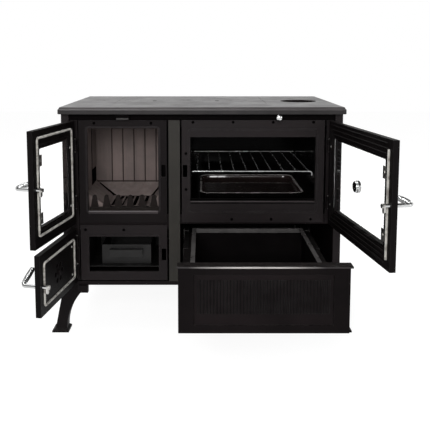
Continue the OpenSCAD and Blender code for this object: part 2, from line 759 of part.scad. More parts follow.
module ash_pan() {
    x0 = pan_x - pan_w / 2;
    x1 = pan_x + pan_w / 2;
    color([0.30, 0.29, 0.29]) placed() {
        difference() {
            block(x0, x1, pan_y0, pan_y0 + pan_d, pan_z, pan_z + pan_h);
            block(x0 + sheet_t, x1 - sheet_t, pan_y0 + sheet_t, pan_y0 + pan_d - sheet_t,
                  pan_z + sheet_t, pan_z + pan_h + 1);
        }
        block(pan_x - pull_w / 2, pan_x + pull_w / 2, pan_y0 - pull_out, pan_y0 + sheet_t / 2,
              pull_z - sheet_t, pull_z);
        block(pan_x - pull_w / 2, pan_x + pull_w / 2, pan_y0 - pull_out, pan_y0 - pull_out + sheet_t,
              pull_z - pull_h, pull_z);
    }
}

// Oven

shelf_w = 20;
module oven_box() {
    x0 = oven_mid - oven_half;
    x1 = oven_mid + oven_half;
    t = sheet_t;
    color([0.12, 0.12, 0.13]) placed() {
        difference() {
            union() {
                block(x0 - t, x1 + t, frame_back_y, oven_back + t, oven_floor - t, oven_roof + t);
                block(x0 - 10, x1 + 10, frame_back_y, frame_back_y + t, oven_floor - 14, oven_roof + 12);
            }
            block(x0, x1, frame_back_y - 1, oven_back, oven_floor, oven_roof);
        }
        for (i = [0, 1]) {
            s = i == 0 ? x0 - join : x1 - shelf_w;
            block(s, s + shelf_w + join, rack_y0 + 8, oven_back + join, rack_z - rail_d / 2 - set_gap - 5,
                  rack_z - rail_d / 2 - set_gap);
        }
        for (x = [x0 + 80, x1 - 100])
            block(x, x + 20, oven_back - 60, oven_back - 40, hearth_z + hearth_t, oven_floor - t + join);
        block(x0 - 10, x1 + 10, frame_back_y + 6 + set_gap, frame_back_y + 12,
              hearth_z + hearth_t, oven_floor - 13);
    }
}

module oven_rack() {
    half = oven_half - 4;
    wire_r = 2.5;
    first = 17;
    last = 12;
    pitch = (2 * half - first - last) / (rack_wires - 1);
    color([0.72, 0.72, 0.73]) placed() {
        for (y = [rack_y0, rack_y1]) rod_x(y, rack_z, rail_d / 2, oven_mid - half, oven_mid + half);
        for (i = [0:rack_wires - 1])
            rod_y(oven_mid - half + first + i * pitch, rack_z - rail_d / 2 + wire_r, wire_r, rack_y0, rack_y1);
        rod_z(oven_mid + half - 3, rack_y0, rail_d / 2, rack_z - 14, rack_z);
    }
}

module baking_tray() {
    w = tray_w - 2 * tray_rim;
    d = tray_d - 2 * tray_rim;
    color([0.16, 0.16, 0.17]) placed() translate([oven_mid, tray_y0 + tray_d / 2, oven_floor + set_gap]) {
        difference() {
            union() {
                linear_extrude(tray_h) round_rect(w, d, tray_corner - tray_rim);
                translate([0, 0, tray_h - tray_rim_t]) linear_extrude(tray_rim_t)
                    round_rect(tray_w, tray_d, tray_corner);
            }
            translate([0, 0, tray_sheet]) linear_extrude(tray_h)
                round_rect(w - 2 * tray_sheet, d - 2 * tray_sheet, tray_corner - tray_rim - tray_sheet);
        }
    }
}

// Flue damper and air slide

module smoke_baffle() {
    x0 = pillar_x0 + 23;
    x1 = half_w - panel_t;
    color([0.20, 0.19, 0.19]) placed() difference() {
        union() {
            block(x0, x1, frame_back_y + 6 + set_gap, back_y - panel_t, baffle_z, baffle_z + baffle_t);
            for (x = [x0, x1 - baffle_t])
                block(x, x + baffle_t, frame_back_y + 20, back_y - 20, baffle_z - 16, baffle_z + join);
        }
        block(damper_x - 60, damper_x + 30, -120, -20, baffle_z - 1, baffle_z + 4);
        rod_z(flue_x, 0, flue_d / 2 + 8, baffle_z - 1, baffle_z + 4);
    }
}

module damper_plate() {
    z = baffle_z + baffle_t + slide_gap;
    color([0.24, 0.23, 0.23]) placed() {
        block(damper_x - 68, damper_x + 34, -128, -12, z, z + 4);
        block(damper_x - 7, damper_x + 7, -128, -118, z, damper_z + damper_d / 2 + 2);
        rod_y(damper_x, damper_z, damper_d / 2, band_y - 20, -122);
    }
}

module damper_knob() {
    y1 = band_y - 20;
    color([0.85, 0.85, 0.86]) placed() translate([damper_x, y1, damper_z]) rotate([90, 0, 0])
        rotate_extrude() polygon([[0, 0], [6, 0], [5, 5], [6, 8], [10, 10], [11, 13], [9, 16], [5, 18], [0, 18]]);
}

module air_slide() {
    z1 = damper_z - 1;
    color([0.72, 0.70, 0.68]) placed()
        block(slide_x, slide_x + slide_w, band_y - 24, band_y + 70, z1 - slide_t, z1);
}

// Doors

module door_blank(u1, z0, z1, hinges) {
    along_y(door_face, door_back) window([door_u0, u1, z0, z1]);
    for (z = hinges) door_knuckle(z);
}
module rope_groove(h) {
    grow = rope_d / 2 + rope_play;
    along_y(rope_y - rope_d / 2 - 0.1, door_back + 1) difference() {
        round_window(h, seat_out + grow, rope_bend + grow);
        round_window(h, seat_out - grow, rope_bend - grow);
    }
}
module rope_ring(h) {
    r = rope_d / 2;
    x0 = h[0] - seat_out;
    x1 = h[1] + seat_out;
    z0 = h[2] - seat_out;
    z1 = h[3] + seat_out;
    for (z = [z0, z1]) rod_x(rope_y, z, r, x0 + rope_bend, x1 - rope_bend);
    for (x = [x0, x1]) rod_z(x, rope_y, r, z0 + rope_bend, z1 - rope_bend);
    for (i = [0:3]) {
        x = i == 0 || i == 3 ? x1 - rope_bend : x0 + rope_bend;
        z = i < 2 ? z1 - rope_bend : z0 + rope_bend;
        translate([x, rope_y, z]) rotate([90, 0, 0]) rotate([0, 0, i * 90])
            rotate_extrude(angle = 90) translate([rope_bend, 0]) circle(r);
    }
}
module rope_strip(h) { rod_z(h[1] + seat_out, rope_y, rope_d / 2, h[2] - seat_out, h[3] + seat_out); }
module strip_groove(h) {
    grow = rope_d / 2 + rope_play;
    block(h[1] + seat_out - grow, h[1] + seat_out + grow, rope_y - rope_d / 2 - 0.1, door_back + 1,
          h[2] - seat_out - rope_play, h[3] + seat_out + rope_play);
}
module pane(h, grow, y0, y1) { along_y(y0, y1) round_window(h, grow, 4); }
function fire_pane() = [fire_u[0] + fire_rail - 15, fire_u[1] - fire_rail + 31,
                        fire_z0 + glass_rail, fire_z1 - glass_rail];
function oven_pane() = [oven_u[0] + oven_rail - 27, oven_u[1] - oven_rail + 31,
                        fire_z0 + glass_rail + 5, fire_z1 - glass_rail];
function clip_points(h) = [[h[1] + 1, h[3] - 36], [h[1] + 1, h[2] + 30]];

module glazed_door(u1, hole, spindle_u) {
    difference() {
        door_blank(u1, fire_z0, fire_z1, fire_hinges);
        pane(hole, 0, door_face - 1, door_back + 1);
        pane(hole, pane_rebate, door_back - glass_t - 0.2, door_back + 1);
        children();
        for (z = fire_hinges) rod_z(0, 0, pin_d / 2 + turn_play, z - 1, z + knuckle_h + 1);
        rod_y(spindle_u, fire_spindle_z, spindle_d / 2 + turn_play, door_face - 1, door_back + 1);
    }
}
module glass(h) { pane(h, pane_rebate - set_gap, door_back - glass_t - 0.2, door_back - 0.2); }
module glass_clips(h) {
    for (p = clip_points(h)) {
        block(p[0] - 9, p[0] + 7, door_back, door_back + 2, p[1] - 18, p[1] + 18);
        rod_y(p[0] + 2, p[1], 3.5, door_back + 1, door_back + 4);
    }
}

module firebox_door_frame() {
    color([0.40, 0.37, 0.35]) left_door(fire_open)
        glazed_door(left_door_u1, fire_pane(), left_spindle_u) rope_groove(fire_u);
}
module firebox_door_glass() { color([0.25, 0.27, 0.28, 0.5]) left_door(fire_open) glass(fire_pane()); }
module firebox_door_gasket() { color([0.85, 0.84, 0.80]) left_door(fire_open) rope_ring(fire_u); }
module firebox_glass_clips() { color([0.78, 0.76, 0.72]) left_door(fire_open) glass_clips(fire_pane()); }

spinner_r = 45;
port_r = 9;
port_ring = 27;
shaft_r = 5;
module ports() {
    for (i = [0:5]) rotate([0, 60 * i, 0]) rod_y(port_ring, 0, port_r, 2 * door_face, 2 * door_t);
}
module ash_door_plate() {
    color([0.40, 0.37, 0.35]) left_door(ash_open) difference() {
        door_blank(left_door_u1, sill_z, ash_door_top, ash_hinges);
        rope_groove(ash_u);
        for (z = ash_hinges) rod_z(0, 0, pin_d / 2 + turn_play, z - 1, z + knuckle_h + 1);
        rod_y(left_spindle_u, ash_spindle_z, spindle_d / 2 + turn_play, door_face - 1, door_back + 1);
        rod_y(spinner_u, ash_spindle_z, shaft_r + turn_play, door_face - 1, door_back + 1);
        translate([spinner_u, 0, ash_spindle_z]) ports();
    }
}
module ash_door_gasket() { color([0.85, 0.84, 0.80]) left_door(ash_open) rope_ring(ash_u); }
module air_spinner() {
    color([0.60, 0.58, 0.55]) left_door(ash_open) translate([spinner_u, 0, ash_spindle_z]) {
        difference() {
            rod_y(0, 0, spinner_r, door_face - 6.5, door_face - 0.5);
            ports();
        }
        rod_y(0, 0, 9, door_face - 16, door_face - 6);
        rod_y(0, 0, shaft_r, door_face - 7, door_back + 6);
        rod_y(0, 0, 9, door_back + 0.5, door_back + 5);
    }
}

module oven_door_frame() {
    color([0.36, 0.34, 0.33]) right_door(oven_open)
        glazed_door(oven_door_u1, oven_pane(), oven_spindle_u) strip_groove(oven_u);
}
gauge_r = 17.5;
gauge_rim = 2;
gauge_t = 11;
gauge_stem = 5;
dial_in = 4;
needle_pin_r = 1.5;
module oven_door_glass() {
    color([0.25, 0.27, 0.28, 0.5]) right_door(oven_open) difference() {
        glass(oven_pane());
        rod_y(gauge_u(), fire_spindle_z, gauge_stem + 0.5, -10, 10);
    }
}
function gauge_u() = (oven_u[0] + oven_u[1]) / 2 - 9;
module oven_door_gasket() { color([0.85, 0.84, 0.80]) right_door(oven_open) rope_strip(oven_u); }
module oven_glass_clips() { color([0.78, 0.76, 0.72]) right_door(oven_open) glass_clips(oven_pane()); }

module thermometer_case() {
    face = door_back - glass_t - 0.2;
    color([0.75, 0.75, 0.76]) right_door(oven_open) translate([gauge_u(), 0, fire_spindle_z]) {
        difference() {
            rod_y(0, 0, gauge_r + gauge_rim, face - gauge_t, face);
            rod_y(0, 0, gauge_r, face - gauge_t - 1, face - gauge_t + dial_in);
        }
        rod_y(0, 0, gauge_stem, face - join, door_back + 3);
        rod_y(0, 0, gauge_r, door_back - 0.2, door_back + 4);
        rod_y(0, 0, needle_pin_r, face - gauge_t + 1.5, face - gauge_t + dial_in + join);
    }
}
module thermometer_needle() {
    y0 = door_back - glass_t - 0.2 - gauge_t + 2.5;
    color([0.75, 0.12, 0.08]) right_door(oven_open) translate([gauge_u(), 0, fire_spindle_z]) rotate([0, 40, 0])
        difference() {
            union() {
                rod_y(0, 0, 3, y0 - 1.2, y0 + 0.3);
                block(-1, 1, y0 - 0.9, y0, -8.5, 15);
            }
            rod_y(0, 0, needle_pin_r + turn_play, y0 - 2, y0 + 1);
        }
}

// Handles, drawn with the grip along -x from the spindle

bend_r = 12;
grip_r = 5;
collar_t = 3;
coil_turn = 2.5;
coil_l = grip_curls * wire_pitch + 2 * coil_turn + 2 * wire_d;
module handle_rod(u, z, rise) {
    color([0.82, 0.82, 0.84]) translate([u, 0, z]) {
        rod_y(0, 0, spindle_d / 2, grip_y + bend_r, cam_y0);
        rod_y(0, 0, spindle_d / 2 - 1, cam_y0 - join, cam_y0 + cam_t);
        rotate([0, rise, 0]) {
            translate([-bend_r, grip_y + bend_r, 0]) rotate([0, 0, -90])
                rotate_extrude(angle = 90) translate([bend_r, 0]) circle(spindle_d / 2);
            rod_x(grip_y, 0, grip_r, -bend_r - coil_l - 2 * collar_t - 2, -bend_r);
            rod_x(grip_y, 0, coil_r_end + wire_d / 2, -bend_r - collar_t, -bend_r);
            rod_x(grip_y, 0, coil_r_end + wire_d / 2, -bend_r - coil_l - 2 * collar_t, -bend_r - coil_l - collar_t);
        }
    }
}
module latch_cam(u, z) {
    color([0.70, 0.69, 0.66]) translate([u, 0, z]) difference() {
        union() {
            block(-cam_w / 2, cam_w / 2, cam_y0, cam_y0 + cam_t, -cam_reach + cam_w / 2, 0);
            rod_y(0, 0, spindle_d / 2 + 1, cam_y0, cam_y0 + cam_t);
            rod_y(0, -cam_reach + cam_w / 2, cam_w / 2, cam_y0, cam_y0 + cam_t);
            translate([0, cam_y0 + cam_t + 5, 0]) rotate([90, 0, 0]) cylinder(r = 7.2, h = 5 + join, $fn = 6);
        }
        rod_y(0, 0, spindle_d / 2 - 1, cam_y0 - 1, cam_y0 + cam_t);
    }
}

// Wire coil: the centre line runs along +x, turning once per pitch
rings_per_curl = 8;
wire_sides = 6;
function coil_r(s) = coil_r_end + (coil_r_mid - coil_r_end) * sin(180 * s);
function curl_ring(i) = let (n = grip_curls * rings_per_curl, a = 360 * i / rings_per_curl, r = coil_r(i / n))
    [[wire_d + coil_turn + wire_pitch * i / rings_per_curl, r * cos(a), r * sin(a)],
     [0, cos(a), sin(a)],
     unit([wire_pitch / 360, -r * sin(a) * PI / 180, r * cos(a) * PI / 180])];
function unit(v) = v / norm(v);
function coil_start() = concat(
    [[[0, coil_r_end, -coil_turn], [0, 1, 0], [1, 0, 0]]],
    [for (a = [0:30:60])
        [[wire_d + coil_turn * sin(a), coil_r_end, -coil_turn * cos(a)], [0, 1, 0], [cos(a), 0, sin(a)]]]);
function coil_stop() = let (x = wire_d + coil_turn + grip_curls * wire_pitch) concat(
    [for (a = [30:30:90])
        [[x + coil_turn - coil_turn * cos(a), coil_r_end, coil_turn * sin(a)], [0, 1, 0], [sin(a), 0, cos(a)]]],
    [[[x + coil_turn + wire_d, coil_r_end, coil_turn], [0, 1, 0], [1, 0, 0]]]);
coil_rings = concat(coil_start(), [for (i = [0:grip_curls * rings_per_curl]) curl_ring(i)], coil_stop());
coil_points = [for (q = coil_rings) for (k = [0:wire_sides - 1]) let (a = 360 * k / wire_sides)
    q[0] + wire_d / 2 * (cos(a) * q[1] + sin(a) * cross(q[2], q[1]))];
coil_last = len(coil_rings) - 1;
function wall_face(j, k) = let (a = j * wire_sides + k, b = j * wire_sides + (k + 1) % wire_sides)
    [[a, b, a + wire_sides], [b, b + wire_sides, a + wire_sides]];
coil_faces = concat(
    [for (k = [1:wire_sides - 2]) [0, k + 1, k]],
    [for (j = [0:coil_last - 1]) for (k = [0:wire_sides - 1]) for (t = wall_face(j, k)) t],
    [for (k = [1:wire_sides - 2])
        [coil_last * wire_sides, coil_last * wire_sides + k, coil_last * wire_sides + k + 1]]);
coil_gap = min([for (i = [0:coil_last - 7]) for (j = [i + 6:min(coil_last, i + 12)])
    norm(coil_rings[i][0] - coil_rings[j][0])]) - wire_d;
echo("least gap between the turns of a grip coil, mm:", coil_gap);

module handle_coil(u, z, rise) {
    color([0.80, 0.80, 0.82]) translate([u, 0, z]) rotate([0, rise, 0])
        translate([-bend_r - collar_t - coil_l, grip_y, 0]) polyhedron(coil_points, coil_faces);
}

module firebox_handle_rod() { left_door(fire_open) handle_rod(left_spindle_u, fire_spindle_z, 0); }
module firebox_handle_coil() { left_door(fire_open) handle_coil(left_spindle_u, fire_spindle_z, 0); }
module firebox_latch_cam() { left_door(fire_open) latch_cam(left_spindle_u, fire_spindle_z); }
module ash_handle_rod() { left_door(ash_open) handle_rod(left_spindle_u, ash_spindle_z, ash_grip_rise); }
module ash_handle_coil() { left_door(ash_open) handle_coil(left_spindle_u, ash_spindle_z, ash_grip_rise); }
module ash_latch_cam() { left_door(ash_open) latch_cam(left_spindle_u, ash_spindle_z); }
module oven_handle_rod() { right_door(oven_open) handle_rod(oven_spindle_u, fire_spindle_z, 0); }
module oven_handle_coil() { right_door(oven_open) handle_coil(oven_spindle_u, fire_spindle_z, 0); }
module oven_latch_cam() { right_door(oven_open) latch_cam(oven_spindle_u, fire_spindle_z); }

// Wood drawer

module drawer_front() {
    field = [drawer_x0 + 46, drawer_x1 - 48, drawer_z0 + 24, drawer_z1 - 25];    // the recess with the ribs
    rib_z0 = field[2] + 34;
    rib_z1 = field[3] - 17;
    pitch = (field[1] - field[0] - 20) / front_ribs;
    lip_out = 5;
    lip_t = 5;
    y = drawer_front_y;
    color([0.38, 0.35, 0.33]) placed() {
        difference() {
            block(drawer_x0, drawer_x1, y, y + door_t, drawer_z0, drawer_z1);
            block(field[0], field[1], y - 1, y + 4, field[2], field[3]);
        }
        for (i = [0:front_ribs - 1])
            block(field[0] + 10 + (i + 0.25) * pitch, field[0] + 10 + (i + 0.75) * pitch,
                  y + 1, y + 4 + join, rib_z0, rib_z1);
        block(drawer_x0 - 3, drawer_x1 + 7, y - lip_out, y + lip_d, drawer_z1 - lip_t, drawer_z1);
    }
}

module drawer_box() {
    t = sheet_t;
    y0 = drawer_front_y + door_t;
    y1 = y0 + drawer_d;
    hem = 14;
    color([0.24, 0.23, 0.23]) placed() {
        difference() {
            block(box_x0, box_x1, y0, y1, box_z0, box_z1 - 4);
            block(box_x0 + t, box_x1 - t, y0 + t, y1 - t, box_z0 + t, box_z1);
        }
        for (x = [box_x0, box_x1 - hem]) block(x, x + hem, y0 + lip_d - door_t + set_gap, y1, box_z1 - 4 - t, box_z1 - 4);
        block(box_x0, box_x1, y1 - hem, y1, box_z1 - 4 - t, box_z1 - 4);
        block(box_x0, box_x1, y1 - hem, y1 - hem + t, box_z1 - 4 - hem, box_z1 - 4);
        for (i = [0, 1]) rail_side(i) translate([0, drawer_front_y + door_t + 6, 0]) inner_rail();
    }
}

module rail_side(i) {
    if (i == 0) translate([box_x0, 0, rail_z]) children();
    else translate([box_x1, 0, rail_z]) mirror([1, 0, 0]) children();
}
module rail_cup(x0, x1, half, web_left) {
    block(web_left ? x0 : x1 - rail_wall, web_left ? x0 + rail_wall : x1, 0, rail_l, -half, half);
    for (z = [-half, half - rail_wall]) block(x0, x1, 0, rail_l, z, z + rail_wall);
}
rail_step = rail_wall + slide_gap;
module inner_rail() { rail_cup(-rail_cup - rail_step - 4, join, rail_h / 2 - 2 * rail_step, false); }
module middle_rail() { rail_cup(-rail_cup - 2 * rail_step - 4, -slide_gap - 9, rail_h / 2 - rail_step, true); }
module outer_rail() {
    rail_cup(-rail_cup - 3 * rail_step - 4, -slide_gap - 11.5, rail_h / 2, true);
    for (y = [20, rail_l - 60])
        block(-rail_cup - 3 * rail_step - 6, -rail_cup - 3 * rail_step - 4 + rail_wall, y, y + 40,
              leg_h + panel_t - rail_z, rail_h / 2);
}

module drawer_rails_outer() {
    color([0.50, 0.50, 0.50]) placed()
        for (i = [0, 1]) rail_side(i) translate([0, frame_back_y + 2, 0]) outer_rail();
}
module drawer_rails_middle() {
    color([0.55, 0.55, 0.55]) placed()
        for (i = [0, 1]) rail_side(i) translate([0, frame_back_y + 2 - drawer_open / 2, 0]) middle_rail();
}

top_plate();
cooking_plate();
hotplate_ring(-1);  // hotplate_ring_left
hotplate_ring(1);  // hotplate_ring_right
hotplate_lid(-1);  // hotplate_lid_left
hotplate_lid(1);  // hotplate_lid_right
flue_collar();
side_panel(-1);  // side_panel_left
side_panel(1);  // side_panel_right
back_panel();
bottom_panel();
upper_front_rail();
centre_wall();
hearth_plate();
firebox_frame();
ash_frame();
oven_frame();
hinge_plates();
hinge_pins();
legs();
frame_screws();
firebox_liners();
firebox_cheeks();
grate();
log_guard();
ash_box();
oven_box();
smoke_baffle();
drawer_rails_outer();
ash_pan();
oven_rack();
baking_tray();
damper_knob();
damper_plate();
air_slide();
firebox_door_frame();
firebox_door_glass();
firebox_door_gasket();
firebox_glass_clips();
firebox_handle_rod();
firebox_handle_coil();
firebox_latch_cam();
ash_door_plate();
ash_door_gasket();
air_spinner();
ash_handle_rod();
ash_handle_coil();
ash_latch_cam();
oven_door_frame();
oven_door_glass();
oven_door_gasket();
oven_glass_clips();
thermometer_case();
thermometer_needle();
oven_handle_rod();
oven_handle_coil();
oven_latch_cam();
drawer_front();
drawer_box();
drawer_rails_middle();
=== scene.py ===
"""Dresses the packed cook stove: castings, liners, doors, ropes, handles, oven, drawer and stage.

The stove's front faces -Y, +X is to the viewer's right and +Z is up. Lengths are metres, and a
number times MM is in millimetres.
"""
import json
import math

import bmesh
import bpy
from mathutils import Matrix, Vector

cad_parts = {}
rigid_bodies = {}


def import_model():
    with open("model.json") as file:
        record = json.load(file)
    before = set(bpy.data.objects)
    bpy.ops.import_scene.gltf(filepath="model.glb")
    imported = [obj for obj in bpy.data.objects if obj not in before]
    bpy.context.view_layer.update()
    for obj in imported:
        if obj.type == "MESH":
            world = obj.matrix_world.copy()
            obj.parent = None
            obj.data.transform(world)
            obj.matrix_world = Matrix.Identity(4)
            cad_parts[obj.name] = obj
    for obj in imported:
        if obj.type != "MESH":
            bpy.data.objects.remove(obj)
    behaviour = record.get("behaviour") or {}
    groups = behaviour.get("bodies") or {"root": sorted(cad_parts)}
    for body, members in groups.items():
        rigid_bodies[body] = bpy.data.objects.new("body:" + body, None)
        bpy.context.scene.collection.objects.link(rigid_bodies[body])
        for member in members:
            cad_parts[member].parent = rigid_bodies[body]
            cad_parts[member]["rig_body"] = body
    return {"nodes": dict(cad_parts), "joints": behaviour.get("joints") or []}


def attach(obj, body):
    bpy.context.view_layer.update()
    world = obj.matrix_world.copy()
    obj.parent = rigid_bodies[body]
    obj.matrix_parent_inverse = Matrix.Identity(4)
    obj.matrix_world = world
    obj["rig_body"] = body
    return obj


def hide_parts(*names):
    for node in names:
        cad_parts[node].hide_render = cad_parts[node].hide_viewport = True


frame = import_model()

bl_info = {
    "name": "Cook Stove Dressing",
    "version": (1, 0, 0),
    "blender": (4, 5, 0),
    "location": "3D View > Sidebar > Stove",
    "description": "Builds the finished look of a cast iron cook stove round its frame",
    "category": "Object",
}

NODES = frame["nodes"]
JOINTS = {joint["name"]: joint for joint in frame["joints"]}
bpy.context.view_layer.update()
MM = 0.001


# Sizes and colours that a user may change

class StoveSizes(bpy.types.PropertyGroup):
    """Sizes of the fine shapes that the frame leaves plain."""

    cast_edge: bpy.props.FloatProperty(
        name="Cast edge", description="Rounding of the edges of the castings",
        default=1.3 * MM, min=0.0, unit="LENGTH", subtype="DISTANCE", precision=4)
    sheet_edge: bpy.props.FloatProperty(
        name="Sheet edge", description="Rounding of the edges of folded sheet",
        default=0.4 * MM, min=0.0, unit="LENGTH", subtype="DISTANCE", precision=4)
    ogee_round: bpy.props.FloatProperty(
        name="Top corner", description="Radius of the top plate's corners in plan",
        default=14 * MM, min=0.002, unit="LENGTH", subtype="DISTANCE", precision=4)
    rope_lay: bpy.props.FloatProperty(
        name="Rope lay", description="Length of one crossing of the rope's braid",
        default=9 * MM, min=0.003, unit="LENGTH", subtype="DISTANCE", precision=4)
    coil_curls: bpy.props.IntProperty(
        name="Grip curls", description="Turns of the wire on a handle grip", default=20, min=8)
    coil_wire: bpy.props.FloatProperty(
        name="Grip wire", description="Thickness of the wire on a handle grip",
        default=2.2 * MM, min=0.001, unit="LENGTH", subtype="DISTANCE", precision=4)
    ridge: bpy.props.FloatProperty(
        name="Door ridge", description="Width of the ridges round the door glass, inside",
        default=6 * MM, min=0.002, unit="LENGTH", subtype="DISTANCE", precision=4)


class StoveColours(bpy.types.PropertyGroup):
    """Colours of the finishes."""

    cast_body: bpy.props.FloatVectorProperty(
        name="Stove paint", description="Heat proof paint on the body castings",
        default=(0.0062, 0.0046, 0.0049), min=0, max=1, subtype="COLOR")
    cast_frame: bpy.props.FloatVectorProperty(
        name="Pillar paint", description="Paint on the pillar between the openings",
        default=(0.022, 0.0200, 0.0170), min=0, max=1, subtype="COLOR")
    cast_top: bpy.props.FloatVectorProperty(
        name="Top plate", description="Smooth machined cooking top",
        default=(0.060, 0.055, 0.056), min=0, max=1, subtype="COLOR")
    liner: bpy.props.FloatVectorProperty(
        name="Firebox liner", description="Scorched liner plates and cheeks",
        default=(0.150, 0.116, 0.108), min=0, max=1, subtype="COLOR")
    enamel: bpy.props.FloatVectorProperty(
        name="Enamel", description="Gloss enamel of the oven and its tray",
        default=(0.0022, 0.0020, 0.0020), min=0, max=1, subtype="COLOR")
    sheet: bpy.props.FloatVectorProperty(
        name="Sheet steel", description="Dull dark sheet of the ash box and its pan",
        default=(0.010, 0.0095, 0.0093), min=0, max=1, subtype="COLOR")
    rope: bpy.props.FloatVectorProperty(
        name="Door rope", description="Woven glass rope in the doors",
        default=(0.50, 0.485, 0.445), min=0, max=1, subtype="COLOR")
    chrome: bpy.props.FloatVectorProperty(
        name="Chrome", description="Polished plating of the handles and the rack",
        default=(0.56, 0.565, 0.565), min=0, max=1, subtype="COLOR")
    steel: bpy.props.FloatVectorProperty(
        name="Zinc plate", description="Plated screws, clips and latch cams",
        default=(0.52, 0.51, 0.49), min=0, max=1, subtype="COLOR")


class StoveStage(bpy.types.PropertyGroup):
    """Light and floor round the stove."""

    room: bpy.props.FloatProperty(
        name="Room light", description="Strength of the even light from all sides",
        default=0.34, min=0.0)
    key: bpy.props.FloatProperty(
        name="Key lamp", description="Power of the large lamp in front",
        default=90.0, min=0.0, unit="POWER")
    fill: bpy.props.FloatProperty(
        name="Fill lamp", description="Power of the lamp on the other side",
        default=18.0, min=0.0, unit="POWER")
    ceiling: bpy.props.FloatProperty(
        name="Ceiling", description="How bright the studio's ceiling looks in polished metal",
        default=0.08, min=0.0)
    top: bpy.props.FloatProperty(
        name="Top lamp", description="Power of the lamp over the cooking top",
        default=66.0, min=0.0, unit="POWER")
    window: bpy.props.FloatProperty(
        name="Small lamp", description="Power of the small lamp that glints in the enamel",
        default=1.6, min=0.0, unit="POWER")
    shadow: bpy.props.FloatProperty(
        name="Floor shadow", description="Share of the floor that takes the stove's shadow",
        default=0.30, min=0.0, max=1.0, subtype="FACTOR")


# Shader nodes

def put(tree, kind, links=None, **settings):
    """Adds a node, sets its properties, and links or fills its inputs."""
    node = tree.nodes.new(kind)
    for key, value in settings.items():
        setattr(node, key, value)
    for key, value in (links or {}).items():
        if isinstance(value, bpy.types.NodeSocket):
            tree.links.new(value, node.inputs[key])
        else:
            node.inputs[key].default_value = value
    return node


def reckon(tree, operation, a, b=0.0):
    """Does one sum on two values."""
    return put(tree, "ShaderNodeMath", {0: a, 1: b}, operation=operation).outputs[0]


def times(tree, a, b):
    return reckon(tree, "MULTIPLY", a, b)


def spread(tree, value, low, high, to_low=0.0, to_high=1.0):
    """Maps low to high onto to_low to to_high, held at both ends."""
    links = {"Value": value, "From Min": low, "From Max": high, "To Min": to_low, "To Max": to_high}
    return put(tree, "ShaderNodeMapRange", links).outputs["Result"]


def between(tree, share, a, b):
    """The value that lies at a share of the way from a to b."""
    return spread(tree, share, 0.0, 1.0, a, b)


def blend(tree, share, a, b):
    """The colour that lies at a share of the way from a to b."""
    return put(tree, "ShaderNodeMix", {0: share, 6: a, 7: b}, data_type="RGBA").outputs[2]


def place_in(tree):
    """The point's place in its own object."""
    return put(tree, "ShaderNodeTexCoord").outputs["Object"]


def noise(tree, place, scale, detail, rough=0.5):
    """Cloudy values round a half."""
    links = {"Vector": place, "Scale": scale, "Detail": detail, "Roughness": rough}
    return put(tree, "ShaderNodeTexNoise", links).outputs[0]


def tint(colour, level):
    """A colour at a level of its own strength, as a shader takes it."""
    return tuple(min(1.0, channel * level) for channel in colour) + (1.0,)


def scaled(colour, level):
    return [channel * level for channel in colour]


def effect(name, inputs, outputs, build):
    """Makes a shader node group with named inputs and outputs."""
    tree = bpy.data.node_groups.new(name, "ShaderNodeTree")
    for label, value in inputs.items():
        socket = tree.interface.new_socket(label, in_out="INPUT", socket_type="NodeSocketFloat")
        socket.default_value = value
    for label in outputs:
        tree.interface.new_socket(label, in_out="OUTPUT", socket_type="NodeSocketFloat")
    given = tree.nodes.new("NodeGroupInput").outputs
    end = tree.nodes.new("NodeGroupOutput")
    for label, socket in zip(outputs, build(tree, given)):
        tree.links.new(socket, end.inputs[label])


def build_grain(tree, given):
    """Sand casting: a fine grain with small pits, and broad patches of tone."""
    place = place_in(tree)
    fine = noise(tree, place, given["Grain"], 5.0, 0.6)
    pits = put(tree, "ShaderNodeTexVoronoi", {"Vector": place, "Scale": given["Pits"]})
    hollow = spread(tree, pits.outputs["Distance"], 0.05, 0.32)
    broad = noise(tree, place, given["Patches"], 4.0, 0.55)
    return times(tree, fine, hollow), spread(tree, broad, 0.3, 0.7)


def build_edge_wear_and_highlight(tree, given):
    """Edges and corners rubbed by use: where the rounded normal leaves the real one."""
    surface = put(tree, "ShaderNodeNewGeometry").outputs["Normal"]
    rounded = put(tree, "ShaderNodeBevel", {"Radius": given["Radius"]}, samples=5)
    agree = put(tree, "ShaderNodeVectorMath", {0: rounded.outputs[0], 1: surface},
                operation="DOT_PRODUCT").outputs["Value"]
    edge = spread(tree, agree, 0.995, 0.90)
    patchy = spread(tree, noise(tree, place_in(tree), 38.0, 5.0), 0.36, 0.66, 0.15, 1.0)
    return (times(tree, times(tree, edge, patchy), given["Amount"]),)


def build_dust(tree, given):
    """Ash and dust that settles on faces that look up."""
    normal = put(tree, "ShaderNodeNewGeometry").outputs["Normal"]
    lying = spread(tree, put(tree, "ShaderNodeSeparateXYZ", {0: normal}).outputs["Z"], 0.35, 0.95)
    speck = noise(tree, place_in(tree), given["Scale"], 6.0, 0.7)
    clumps = spread(tree, speck, 0.42, 0.68, 0.1, 1.0)
    return (times(tree, times(tree, lying, clumps), given["Amount"]),)


def build_strokes(tree, given):
    """Fine lines of rolling or polishing along one axis, and clouds of tone."""
    place = place_in(tree)
    stretch = put(tree, "ShaderNodeCombineXYZ",
                  {0: given["Across X"], 1: given["Across Y"], 2: given["Across Z"]}).outputs[0]
    drawn = put(tree, "ShaderNodeVectorMath", {0: place, 1: stretch}, operation="MULTIPLY").outputs[0]
    lines = noise(tree, drawn, 1.0, 4.0, 0.65)
    return lines, spread(tree, noise(tree, place, 21.0, 3.0), 0.3, 0.7)


